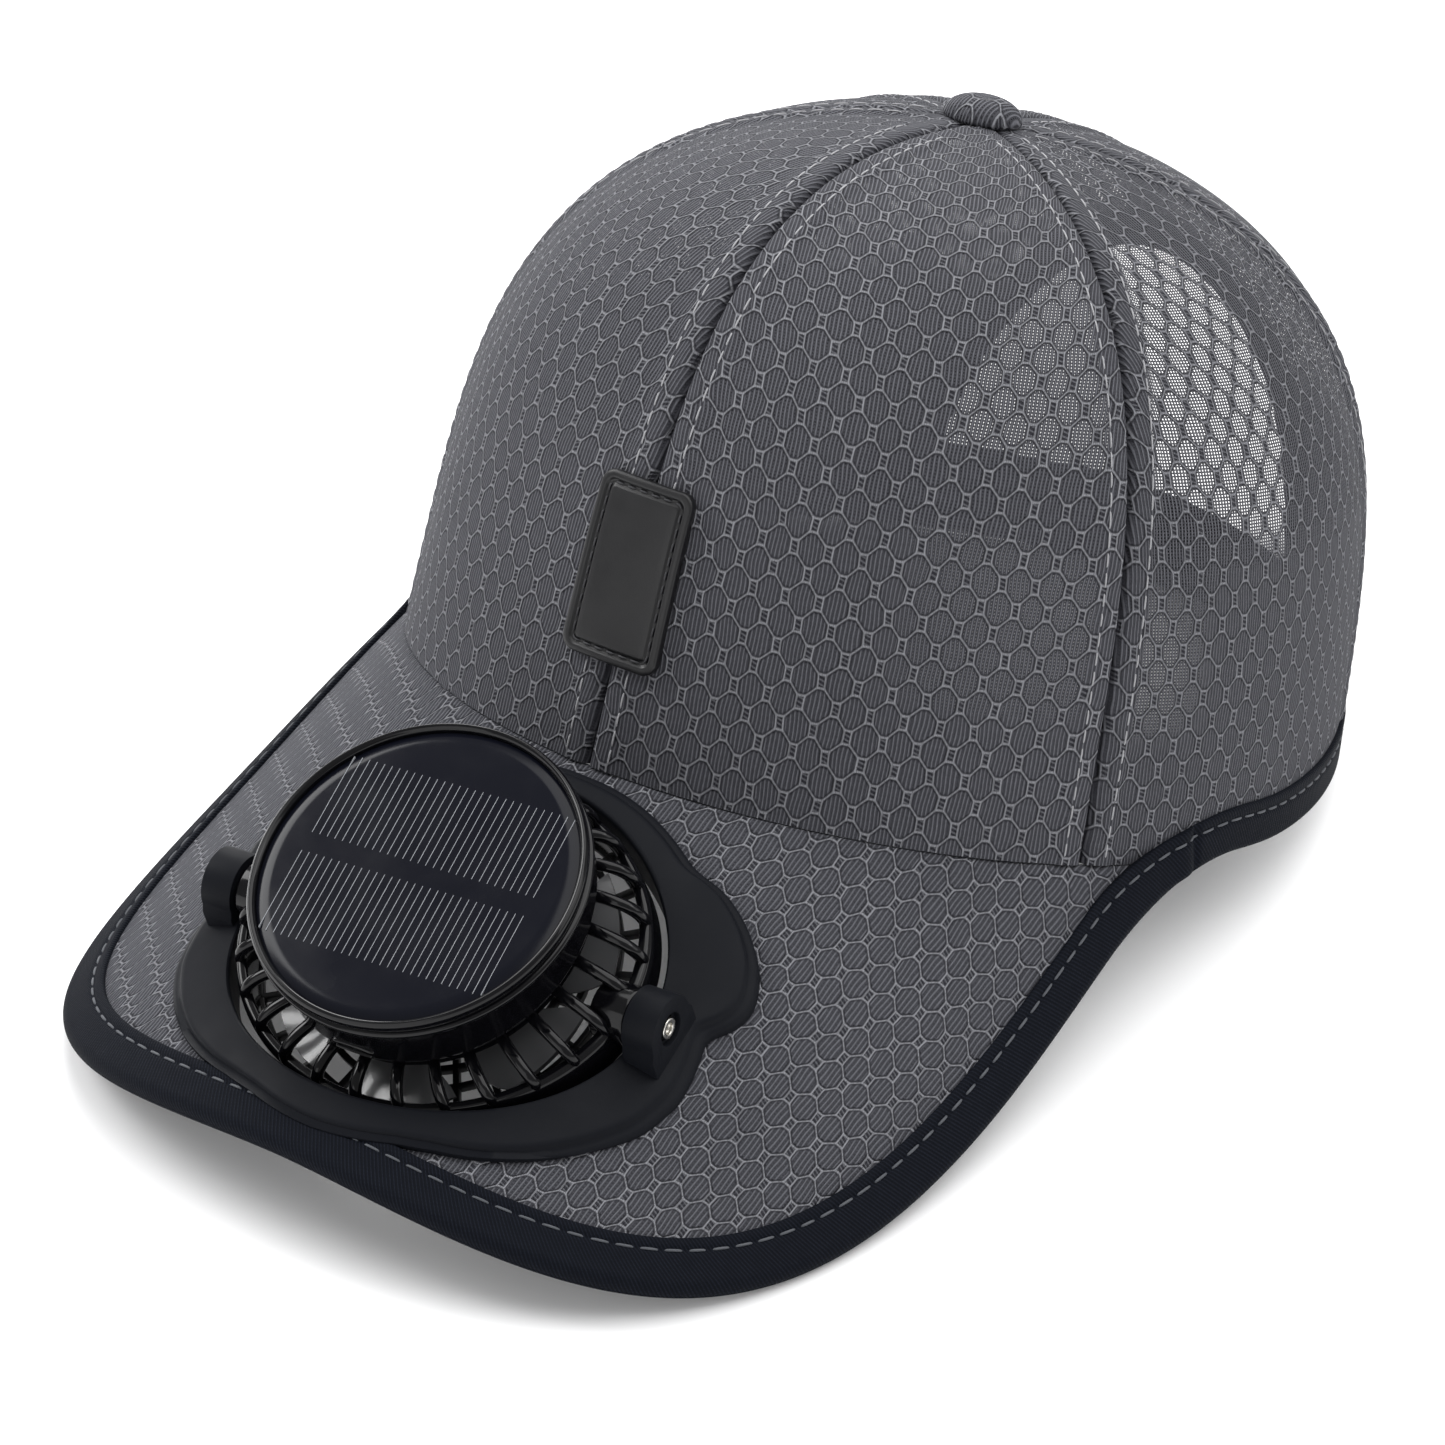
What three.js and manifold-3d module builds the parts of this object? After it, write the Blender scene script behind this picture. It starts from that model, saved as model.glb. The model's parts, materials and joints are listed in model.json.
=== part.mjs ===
// Cap with a tilting solar fan set in its peak. Millimetres, +Z up, front to -Y.
import * as THREE from 'three';
import { mergeVertices } from 'three/addons/utils/BufferGeometryUtils.js';
import Module from 'manifold-3d';

const wasm = await Module();
wasm.setup();

const DEGREE = Math.PI / 180;

// Clearances
const gap = 0.3;
const restFlat = 0.5;

// Crown
const crownHalfWidth = 84.5;
const crownFront = 95.6;
const crownBack = 94.2;
const crownTop = 112.7;
const crownLean = -0.4;
const domeSquareness = 0.537;
const sideRoundness = 1.0;
const frontRoundness = 0.693;
const sideFlare = 0.04;
const frontFlare = 0.062;
const rimSide = 2.2;
const rimFront = 7.3;
const rimBack = 12.4;
const panelWall = 1.3;
const buttonRadius = 7.2;
const buttonHeight = 4.4;

// Peak
const visorHalfWidth = crownHalfWidth * 0.9787;
const visorSwell = 0.087;
const visorReach = 130.4;
const visorRoot = -39.3;
const visorSideRound = 2.378;
const visorFrontRound = 3.386;
const visorSlope = 0.7065;
const visorArch = 0.00637;
const visorArchFade = 0.28;
const visorStart = 7.0;
const visorWall = 3.0;
const visorEndAngle = 70;
const visorBindingEnd = -28;

// The peak's clear depth in front of the crown, which sizes its tape and the fan
const peakDepth = visorReach - visorRoot - crownFront;

// Folded tapes
const tapeWidth = peakDepth * 0.1296;
const rimTapeWidth = 10;
const archTapeWidth = 7;
const tapeWall = 0.8;

// Back opening and strap
const archHalfAngle = 30;
const archHeight = 68;
const strapWidth = 18;
const strapWall = 1.4;
const strapEndAngle = 40;
const strapOverlap = 10;

// Front patch
const patchWidth = 19.5;
const patchHeight = 32;
const patchBottom = 18.5;
const patchThickness = 1.8;
const patchCorner = 2;

// Fan base
const baseRadius = peakDepth * 0.6208;
const pivotDistance = peakDepth * 0.5965;
const holeHalfWidth = baseRadius * 0.8478;
const holeHalfLength = baseRadius * 0.7478;
const holeBack = baseRadius * 0.0283;
const baseThickness = 2.6;
const baseRearRise = 1.3;
const baseBevel = 0.8;
const collarWall = 0.8;
const peakLength = peakDepth * Math.sqrt(1 + visorSlope ** 2);
const holeReach = pivotDistance - holeBack + holeHalfLength;
const underRingWidth = peakLength - tapeWidth - holeReach - collarWall - gap;
const underRingThickness = 1.8;
const pivotHeight = -1.3;
const fanTurn = 4.5;
const earInside = holeHalfWidth + gap;
const earThickness = 6;
const earRadius = 5.9;
const earFoot = 6.6;
const screwRecess = 1.1;
const screwRecessRadius = 3.0;

// Tilting head
const headTilt = 8.4;
const headBack = 3.6;
const cageClearance = 1.4;
const cageHalfWidth = holeHalfWidth - cageClearance;
const cageHalfLength = holeHalfLength - cageClearance;
const cageWall = 2.2;
const cageTop = 2.4;
const cageBottom = -5.3;
const ribCount = 28;
const ribTopHeight = 12.2;
const ribWidth = 1.5;
const ribDepth = 2.4;
const ribSwirl = 24;
const bossRadius = 5.2;
const bossInside = cageHalfWidth - 5.4;
const pinRadius = 2.0;
const headRadius = baseRadius * 0.6435;
const ribTopRadius = headRadius - 3.4;
const headTop = 20.6;
const bezelWidth = 3.2;
const bezelHeight = 2.1;
const panelRecess = 0.6;
const housingBottom = 13.6;
const grilleThickness = 1.6;
const grilleSpokes = 12;
const grilleBar = 1.2;
const hubRadius = baseRadius * 0.2174;
const motorRadius = hubRadius * 0.8;
const hubHeight = 7;
const bladeCount = 7;
const bladeReach = cageHalfLength - 2.8;
const bladeTwist = 32;
const bladeThickness = 1.2;

const finishes = {
  mesh: { color: 0x5f6066, roughness: 0.85, metalness: 0 },
  tape: { color: 0x1d2029, roughness: 0.9, metalness: 0 },
  rubber: { color: 0x141416, roughness: 0.6, metalness: 0 },
  plate: { color: 0x2b2c30, roughness: 0.45, metalness: 0 },
  gloss: { color: 0x0c0c0e, roughness: 0.18, metalness: 0 },
  blade: { color: 0x4a4a4c, roughness: 0.3, metalness: 0 },
  cell: { color: 0x0d0f16, roughness: 0.15, metalness: 0 },
  steel: { color: 0xb8b8b4, roughness: 0.3, metalness: 1 },
};

// Bodies from points and faces

function weld(geometry) {
  const bare = geometry.clone();
  bare.deleteAttribute('normal');
  bare.deleteAttribute('uv');
  return mergeVertices(bare, 1e-5);
}

function volumeOf(points, faces) {
  let six = 0;
  for (let k = 0; k < faces.length; k += 3) {
    const [a, b, c] = [points[faces[k]], points[faces[k + 1]], points[faces[k + 2]]];
    six += a.dot(new THREE.Vector3().crossVectors(b, c));
  }
  return six / 6;
}

// A closed body, with its faces turned outward
function body(points, faces) {
  const turned = volumeOf(points, faces) < 0;
  const index = [];
  for (let k = 0; k < faces.length; k += 3) {
    index.push(faces[k], faces[k + (turned ? 2 : 1)], faces[k + (turned ? 1 : 2)]);
  }
  const geometry = new THREE.BufferGeometry();
  geometry.setAttribute('position', new THREE.Float32BufferAttribute(points.flatMap((p) => [p.x, p.y, p.z]), 3));
  geometry.setIndex(index);
  return geometry;
}

// A wall between two equal grids of points; a ringed wall joins its last row to its first
function wallBetween(outer, inner, ringed = false) {
  const rows = outer.length;
  const cols = outer[0].length;
  const last = cols - 1;
  const faces = [];
  const at = (layer, i, j) => (layer * rows + (i % rows)) * cols + j;
  const quad = (a, b, c, d) => faces.push(a, b, c, a, c, d);
  for (let i = 0; i < (ringed ? rows : rows - 1); i += 1) {
    for (let j = 0; j < last; j += 1) {
      quad(at(0, i, j), at(0, i + 1, j), at(0, i + 1, j + 1), at(0, i, j + 1));
      quad(at(1, i, j), at(1, i, j + 1), at(1, i + 1, j + 1), at(1, i + 1, j));
    }
    quad(at(0, i, 0), at(1, i, 0), at(1, i + 1, 0), at(0, i + 1, 0));
    quad(at(0, i, last), at(0, i + 1, last), at(1, i + 1, last), at(1, i, last));
  }
  if (!ringed) {
    const end = rows - 1;
    for (let j = 0; j < last; j += 1) {
      quad(at(0, 0, j), at(0, 0, j + 1), at(1, 0, j + 1), at(1, 0, j));
      quad(at(0, end, j), at(1, end, j), at(1, end, j + 1), at(0, end, j + 1));
    }
  }
  return body([...outer.flat(), ...inner.flat()], faces);
}

// A body through equal closed sections; the outline gives the flat shape of its two ends
function loft(sections, outline) {
  const count = outline.length;
  const faces = [];
  for (let i = 0; i < sections.length - 1; i += 1) {
    for (let k = 0; k < count; k += 1) {
      const next = (k + 1) % count;
      const [a, b] = [i * count, (i + 1) * count];
      faces.push(a + k, a + next, b + next, a + k, b + next, b + k);
    }
  }
  const way = Math.sign(THREE.ShapeUtils.area(outline));
  const end = (sections.length - 1) * count;
  for (const [a, b, c] of THREE.ShapeUtils.triangulateShape(outline, [])) {
    const same = Math.sign(THREE.ShapeUtils.area([outline[a], outline[b], outline[c]])) === way;
    const [p, q] = same ? [b, c] : [c, b];
    faces.push(a, q, p);
    faces.push(end + a, end + p, end + q);
  }
  return body(sections.flat(), faces);
}

// A turned body about Z from a profile of radius and height
function turned(profile, segments, closed = false) {
  const points = profile.map(([r, h]) => new THREE.Vector2(r, h));
  if (closed) points.push(points[0].clone());
  const lathe = weld(new THREE.LatheGeometry(points, segments));
  lathe.rotateX(90 * DEGREE);
  const place = lathe.attributes.position;
  const corners = [];
  for (let k = 0; k < place.count; k += 1) corners.push(new THREE.Vector3().fromBufferAttribute(place, k));
  const faces = [];
  for (let k = 0; k < lathe.index.count; k += 3) {
    const [a, b, c] = [0, 1, 2].map((n) => lathe.index.getX(k + n));
    if (a !== b && b !== c && a !== c) faces.push(a, b, c);
  }
  return body(corners, faces);
}

function solidOf(geometry) {
  const whole = weld(geometry);
  return new wasm.Manifold(new wasm.Mesh({
    numProp: 3,
    vertProperties: Float32Array.from(whole.attributes.position.array),
    triVerts: Uint32Array.from(whole.index.array),
  }));
}

function geometryOf(solid) {
  const mesh = solid.getMesh();
  const geometry = new THREE.BufferGeometry();
  geometry.setAttribute('position', new THREE.Float32BufferAttribute(mesh.vertProperties, 3));
  geometry.setIndex(Array.from(mesh.triVerts));
  return geometry;
}

const joined = (pieces) => geometryOf(pieces.map(solidOf).reduce((all, piece) => all.add(piece)));
const cutBy = (whole, tools) => geometryOf(tools.map(solidOf).reduce((left, tool) => left.subtract(tool), solidOf(whole)));

function rodAlongX(radius, from, to, segments) {
  const rod = new THREE.CylinderGeometry(radius, radius, to - from, segments);
  rod.rotateZ(90 * DEGREE);
  rod.translate((from + to) / 2, 0, 0);
  return rod;
}

const span = (from, to, count) => Array.from({ length: count + 1 }, (_, k) => from + (to - from) * k / count);

// Crown surface: an angle from the front, positive to the wearer's left, and a share of the way up

function rimHeight(angle) {
  const front = Math.max(Math.cos(angle), 0) ** 1.5;
  const back = Math.max(-Math.cos(angle), 0) ** 1.5;
  return rimSide + (rimFront - rimSide) * front + (rimBack - rimSide) * back;
}

function crownPoint(angle, rise) {
  const turn = Math.asin(Math.min(Math.max(rise, 0), 1) ** (1 / domeSquareness));
  const front = Math.max(Math.cos(angle), 0) ** 2;
  const roundness = sideRoundness + (frontRoundness - sideRoundness) * front;
  const flare = sideFlare + (frontFlare - sideFlare) * front;
  const reach = Math.cos(turn) ** roundness * (1 + flare * (1 - rise) ** 2) / (1 + flare);
  const depth = Math.cos(angle) > 0 ? crownFront : crownBack;
  const rim = rimHeight(angle);
  return new THREE.Vector3(
    crownHalfWidth * reach * Math.sin(angle),
    crownLean * rise - depth * reach * Math.cos(angle),
    rim + (crownTop - rim) * rise,
  );
}

function crownFrame(angle, rise) {
  const step = 1e-3;
  const low = Math.min(Math.max(rise, step), 1 - 2 * step);
  const around = crownPoint(angle + step, low).sub(crownPoint(angle - step, low)).normalize();
  const up = crownPoint(angle, low + step).sub(crownPoint(angle, low - step)).normalize();
  return { around, up, out: new THREE.Vector3().crossVectors(around, up).normalize() };
}

// A point on the crown at a height over the rim, moved out of the surface by a depth
function onCrown(angle, height, out) {
  const rise = height / (crownTop - rimHeight(angle));
  return crownPoint(angle, rise).addScaledVector(crownFrame(angle, rise).out, out);
}

const riseOf = (angle, height) => height / (crownTop - rimHeight(angle));

// Cloth stands back from the fold of its tape by this much
const hem = tapeWall + gap;

// Height of the panels' edge over the rim at the back opening
const archStart = Math.PI - archHalfAngle * DEGREE - hem / crownBack;

function archEdge(angle) {
  const away = Math.abs(angle - Math.PI) / (Math.PI - archStart);
  return away >= 1 ? 0 : (archHeight + hem) * Math.sqrt(1 - away ** 2);
}

// Rows from the lower edge to the apex, closer together where the dome turns over
function panelRises(low, high, count) {
  const share = (rise) => (Math.asin(rise ** (1 / domeSquareness)) / (90 * DEGREE)) ** (1 / 1.8);
  return span(share(low), share(high), count).map((s) => Math.sin(90 * DEGREE * s ** 1.8) ** domeSquareness);
}

function apexRise(angle) {
  const front = Math.max(Math.cos(angle), 0) ** 2;
  const roundness = sideRoundness + (frontRoundness - sideRoundness) * front;
  const small = (buttonRadius * 0.6 / crownHalfWidth) ** (1 / roundness);
  return Math.cos(Math.asin(small)) ** domeSquareness;
}

function crownPanel(fromAngle, toAngle, side) {
  const start = fromAngle * DEGREE;
  const end = toAngle * DEGREE;
  let angles = span(start, end, 7);
  let rows = 8;
  if (end > archStart) {
    const curved = span(0, 90, 11).map((a) => Math.PI - (Math.PI - archStart) * Math.cos(a * DEGREE));
    angles = [...span(start, archStart, 4).slice(0, -1), ...curved];
    rows = 10;
  }
  const outer = [];
  const inner = [];
  angles.forEach((angle, i) => {
    const low = Math.max(archEdge(angle), angle > visorEndAngle * DEGREE ? hem : 0.01);
    const shift = (i === 0 ? gap / 2 : 0) - (i === angles.length - 1 ? gap / 2 : 0);
    const rises = panelRises(riseOf(angle, low), apexRise(angle), rows);
    const column = rises.map((rise) => {
      const frame = crownFrame(angle, rise);
      const point = crownPoint(angle, rise).addScaledVector(frame.around, shift);
      return { point, out: frame.out };
    });
    outer.push(column.map(({ point }) => new THREE.Vector3(side * point.x, point.y, point.z)));
    inner.push(column.map(({ point, out }) => {
      const deep = point.clone().addScaledVector(out, -panelWall);
      return new THREE.Vector3(side * deep.x, deep.y, deep.z);
    }));
  });
  return wallBetween(outer, inner);
}

// Peak surface, as a height over the plan and a frame on it

function peakHeight(x, y) {
  const ahead = -crownFront - y;
  const fall = visorStart - visorSlope * ahead - visorArch * (1 - visorArchFade * ahead / 100) * x ** 2;
  return fall;
}

function visorHeight(x, y) {
  const angle = Math.atan2(x / crownHalfWidth, -y / crownFront);
  const outside = Math.hypot(x / crownHalfWidth, y / crownFront) - 1;
  if (outside < 0) return rimHeight(angle) - gap;
  const rimX = crownHalfWidth * Math.sin(angle);
  const rimY = -crownFront * Math.cos(angle);
  const tie = rimHeight(angle) - gap - peakHeight(rimX, rimY);
  const fade = Math.min(Math.max(1 - outside / 0.35, 0), 1) ** 2;
  return peakHeight(x, y) + tie * fade;
}

// A point over the peak's upper face, measured square to it
function onVisor(x, y, out) {
  const step = 0.05;
  const dx = (visorHeight(x + step, y) - visorHeight(x - step, y)) / (2 * step);
  const dy = (visorHeight(x, y + step) - visorHeight(x, y - step)) / (2 * step);
  const normal = new THREE.Vector3(-dx, -dy, 1).normalize();
  return new THREE.Vector3(x, y, visorHeight(x, y)).addScaledVector(normal, out);
}

// The peak's outer edge in plan: a share from -1 at one end to 1 at the other
function visorEdge(share) {
  const curved = 0.94;
  if (Math.abs(share) > curved) {
    const back = (Math.abs(share) - curved) / (1 - curved);
    return new THREE.Vector2(Math.sign(share) * visorHalfWidth, visorRoot + (visorBindingEnd - visorRoot) * back);
  }
  const turn = share / curved * 90 * DEGREE;
  const reach = Math.max(Math.cos(turn), 0) ** (2 / visorFrontRound);
  const side = Math.sign(turn) * Math.abs(Math.sin(turn)) ** (2 / visorSideRound);
  return new THREE.Vector2(visorHalfWidth * (1 + visorSwell * reach) * side, visorRoot - visorReach * reach);
}

function edgeFrame(share) {
  const step = 2e-3;
  const a = visorEdge(Math.max(share - step, -1));
  const b = visorEdge(Math.min(share + step, 1));
  const along = b.sub(a).normalize();
  const inward = new THREE.Vector2(-along.y, along.x);
  const foot = visorEdge(share);
  const slope = visorHeight(foot.x + inward.x, foot.y + inward.y) - visorHeight(foot.x, foot.y);
  const flat = 1 / Math.sqrt(1 + slope ** 2);
  const width = Math.max(Math.min(tapeWidth * flat, roomToCrown(foot, inward)), hem + gap);
  const inset = (distance) => foot.clone().addScaledVector(inward, distance);
  return { inset, flat, width };
}

function roomToCrown(foot, inward) {
  let room = 0;
  const outside = (distance) => {
    const p = foot.clone().addScaledVector(inward, distance);
    return Math.hypot(p.x / crownHalfWidth, p.y / crownFront) > 1;
  };
  while (room < tapeWidth && outside(room + gap)) room += 0.05;
  return room;
}

const edgeShares = span(-90, 90, 40).map((a) => Math.sign(a) * Math.abs(a / 90) ** 0.92);

// A folded tape's section: distance in from the folded edge and height over the middle of the sheet
function tapeSection(width, sheet) {
  const slot = sheet / 2 + gap;
  const face = slot + tapeWall;
  const nose = tapeWall;
  return [
    [width, face], [nose, face], [0, face * 0.4], [0, -face * 0.4], [nose, -face],
    [width, -face], [width, -slot], [nose, -slot], [nose, slot], [width, slot],
  ].map(([x, y]) => new THREE.Vector2(x, y));
}

function visorTape() {
  const outline = tapeSection(tapeWidth, visorWall);
  const sections = edgeShares.map((share) => {
    const { inset, flat, width } = edgeFrame(share);
    return outline.map(({ x, y }) => {
      const p = inset(x === tapeWidth ? width : x * flat);
      return onVisor(p.x, p.y, y - visorWall / 2);
    });
  });
  return loft(sections, outline);
}

function visorSheet() {
  const rows = edgeShares.filter((share) => Math.abs(share) < 0.96).map((share) => {
    const angle = share / 0.96 * visorEndAngle * DEGREE;
    const under = 1 - panelWall * 0.8 / crownFront;
    const root = new THREE.Vector2(crownHalfWidth * Math.sin(angle), -crownFront * Math.cos(angle)).multiplyScalar(under);
    const { inset, flat, width } = edgeFrame(share);
    return [...span(0, 1, 4).map((k) => root.clone().lerp(inset(width), k)), inset(hem * flat)];
  });
  const grid = (out) => rows.map((row) => row.map((p) => onVisor(p.x, p.y, out)));
  return wallBetween(grid(0), grid(-visorWall));
}

// The fan's frame on the peak: origin on the pivot line, +Z off the slope, turned as the fan is

const slopeAngle = Math.atan(visorSlope);
const pivotY = -crownFront - pivotDistance * Math.cos(slopeAngle);
const offSlope = new THREE.Vector3(0, -Math.sin(slopeAngle), Math.cos(slopeAngle));
const fanPlace = new THREE.Vector3(0, pivotY, peakHeight(0, pivotY)).addScaledVector(offSlope, pivotHeight);
const fanMatrix = new THREE.Matrix4().makeTranslation(fanPlace)
  .multiply(new THREE.Matrix4().makeRotationX(slopeAngle))
  .multiply(new THREE.Matrix4().makeRotationZ(fanTurn * DEGREE));

// A point in the fan's frame, off the peak's upper face by a distance square to that face
function overPeak(x, y, out) {
  let level = -pivotHeight;
  let p = new THREE.Vector3();
  for (let k = 0; k < 12; k += 1) {
    p = new THREE.Vector3(x, y, level).applyMatrix4(fanMatrix);
    level -= (p.z - visorHeight(p.x, p.y)) * Math.cos(slopeAngle);
  }
  const square = onVisor(p.x, p.y, 1).sub(onVisor(p.x, p.y, 0));
  return new THREE.Vector3(x, y, level + out / square.dot(offSlope));
}

function roundHole(angle, beyond) {
  return new THREE.Vector2(
    (holeHalfWidth + beyond) * Math.cos(angle),
    holeBack + (holeHalfLength + beyond) * Math.sin(angle),
  );
}

// The plate's outline: angle in degrees from the ear towards the crown, radius as a share of baseRadius
const baseOutline = [
  { angle: -90, radius: 0.922 }, { angle: -70, radius: 0.912 }, { angle: -62, radius: 0.93 },
  { angle: -54, radius: 0.965 }, { angle: -42, radius: 1.013 }, { angle: -30, radius: 1.052 },
  { angle: -20, radius: 1.08 }, { angle: -10, radius: 1.078 }, { angle: 0, radius: 1.045 },
  { angle: 5, radius: 1.028 }, { angle: 7, radius: 1.06 }, { angle: 10, radius: 1.105 },
  { angle: 14, radius: 1.14 }, { angle: 18, radius: 1.147 }, { angle: 23, radius: 1.143 },
  { angle: 29, radius: 1.113 }, { angle: 35, radius: 1.067 }, { angle: 38.5, radius: 1.03 },
  { angle: 42, radius: 0.975 }, { angle: 45, radius: 0.95 }, { angle: 50, radius: 0.936 },
  { angle: 56, radius: 0.92 }, { angle: 63, radius: 0.902 }, { angle: 70, radius: 0.884 },
  { angle: 80, radius: 0.86 }, { angle: 90, radius: 0.852 },
];

function baseEdge(angle, within) {
  const fromEar = Math.asin(Math.sin(angle)) / DEGREE;
  let k = 1;
  while (k < baseOutline.length - 1 && baseOutline[k].angle < fromEar) k += 1;
  const [a, b] = [baseOutline[k - 1], baseOutline[k]];
  const share = (fromEar - a.angle) / (b.angle - a.angle);
  const radius = baseRadius * (a.radius + (b.radius - a.radius) * share) - within;
  return new THREE.Vector2(radius * Math.cos(angle), holeBack + radius * Math.sin(angle));
}

function ringOnVisor(angles, outerRow, innerRow) {
  const grid = (row) => angles.map((a) => row(a).map(([place, out]) => overPeak(place.x, place.y, out)));
  return wallBetween(grid(outerRow), grid(innerRow), true);
}

const turns = (count) => span(0, 360, count).slice(0, -1).map((a) => a * DEGREE);

function earBlock(side) {
  const dome = span(180, 0, 8).map((a) => [earRadius * Math.cos(a * DEGREE), earRadius * Math.sin(a * DEGREE)]);
  const shape = [[-earFoot, -earRadius], [-earFoot, -1.5], ...dome, [earFoot, -1.5], [earFoot, -earRadius]];
  const outline = shape.map(([y, z]) => new THREE.Vector2(y, z));
  const sections = [earInside, earInside + earThickness].map((x) => outline.map((p, k) => {
    const foot = k === 0 || k === outline.length - 1;
    const root = overPeak(side * x, p.x, gap + baseThickness / 2).z;
    return new THREE.Vector3(side * x, p.x, foot ? root : Math.max(p.y, root + 0.2));
  }));
  const out = side * (earInside + earThickness);
  const inside = side * (earInside - 1);
  const bore = rodAlongX(pinRadius + gap, Math.min(inside, out + side), Math.max(inside, out + side), 12);
  const floor = out - side * screwRecess;
  const recess = rodAlongX(screwRecessRadius, Math.min(floor, out + side), Math.max(floor, out + side), 14);
  return { block: loft(sections, outline), tools: [bore, recess] };
}

function fanBase() {
  const top = (angle) => gap + baseThickness + baseRearRise * Math.sin(angle);
  // The front of the plate lies over the peak's tape
  const foot = (angle) => {
    const ahead = Math.min(Math.max((-Math.sin(angle) - 0.4) / 0.3, 0), 1);
    return gap + (tapeWall + gap) * ahead;
  };
  const collarFoot = -(visorWall + 2 * gap + underRingThickness);
  const plate = ringOnVisor(
    turns(60),
    (a) => [
      [roundHole(a, 0), top(a) - baseBevel], [roundHole(a, baseBevel), top(a)],
      [baseEdge(a, baseBevel), top(a)], [baseEdge(a, 0), top(a) - baseBevel],
    ],
    (a) => [
      [roundHole(a, 0), collarFoot], [roundHole(a, collarWall), collarFoot],
      [roundHole(a, collarWall), foot(a)], [baseEdge(a, 0), foot(a)],
    ],
  );
  const ears = [earBlock(1), earBlock(-1)];
  const seat = rodAlongX(bossRadius + gap, -earInside, earInside, 14);
  return cutBy(joined([plate, ...ears.map((ear) => ear.block)]), [seat, ...ears.flatMap((ear) => ear.tools)]);
}

function underRing() {
  const high = -(visorWall + gap);
  const low = high - underRingThickness;
  const ends = (a) => [roundHole(a, collarWall + gap), roundHole(a, collarWall + underRingWidth)];
  return ringOnVisor(turns(36), (a) => ends(a).map((p) => [p, high]), (a) => ends(a).map((p) => [p, low]));
}

function visorHoleTool() {
  const outline = turns(40).map((a) => roundHole(a, collarWall + gap));
  const deep = holeHalfWidth * 0.7;
  const sections = [-deep, deep].map((z) => outline.map((p) => new THREE.Vector3(p.x, p.y, z)));
  return loft(sections, outline).applyMatrix4(fanMatrix);
}

// Tapes on the crown

function rimTape(side) {
  const outline = tapeSection(rimTapeWidth, panelWall);
  const start = Math.asin(Math.min((visorHalfWidth - gap) / crownHalfWidth, 0.99));
  const end = Math.PI - archHalfAngle * DEGREE - (archTapeWidth + gap) / crownBack;
  const sections = span(start, end, 16).map((angle) => outline.map(({ x, y }) => {
    const p = onCrown(angle, x, y - panelWall / 2);
    return new THREE.Vector3(side * p.x, p.y, p.z);
  }));
  return loft(sections, outline);
}

function archTape() {
  const outline = tapeSection(archTapeWidth, panelWall);
  const wide = archHalfAngle * DEGREE;
  const sections = span(0, 180, 22).map((turn) => {
    const a = turn * DEGREE;
    const along = new THREE.Vector2(wide * crownBack * Math.sin(a), archHeight * Math.cos(a)).normalize();
    const away = new THREE.Vector2(-along.y, along.x);
    return outline.map(({ x, y }) => {
      const angle = Math.PI - wide * Math.cos(a) + away.x * x / crownBack;
      const height = archHeight * Math.sin(a) + away.y * x;
      return onCrown(angle, Math.max(height, 0), y - panelWall / 2);
    });
  });
  return loft(sections, outline);
}

function strap(side) {
  const clear = panelWall + 2 * gap + tapeWall;
  const layer = side > 0 ? 0 : strapWall + gap;
  const far = Math.PI - strapEndAngle * DEGREE;
  const near = Math.PI + strapOverlap * DEGREE;
  const angles = span(far, near, 14);
  const grid = (depth) => angles.map((angle) => {
    const step = Math.min(Math.max((angle - far) / (near - far) / 0.5, 0), 1);
    const sunk = clear + layer * step ** 2 * (3 - 2 * step) + depth;
    return span(0, strapWidth, 2).map((height) => {
      const p = onCrown(angle, height, -sunk);
      return new THREE.Vector3(side * p.x, p.y, p.z);
    });
  });
  return wallBetween(grid(0), grid(strapWall));
}

function frontPatch() {
  const half = patchWidth / 2;
  const grid = (out) => span(-1, 1, 6).map((u) => {
    const corner = Math.max(Math.abs(u) * half - (half - patchCorner), 0);
    const trim = patchCorner - Math.sqrt(Math.max(patchCorner ** 2 - corner ** 2, 0));
    return span(patchBottom + trim, patchBottom + patchHeight - trim, 4).map((height) => {
      const angle = Math.asin(u * half / crownHalfWidth);
      return onCrown(angle, height, out);
    });
  });
  return wallBetween(grid(gap + patchThickness), grid(gap));
}

function topButton() {
  const dome = span(90, 0, 4).map((a) => [
    buttonRadius * Math.cos(a * DEGREE), 1 + (buttonHeight - 1) * Math.sin(a * DEGREE),
  ]);
  const button = turned([...dome, [buttonRadius - 0.8, 0], [0, 0]], 16);
  const crest = crownPoint(90 * DEGREE, 1);
  return button.translate(crest.x, crest.y, crest.z + gap);
}

// Tilting head, in its own frame: origin on the pivot line, +Z out through the solar panel

const square = [[0, 0], [1, 0], [1, 1], [0, 1]].map(([x, y]) => new THREE.Vector2(x, y));

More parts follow.
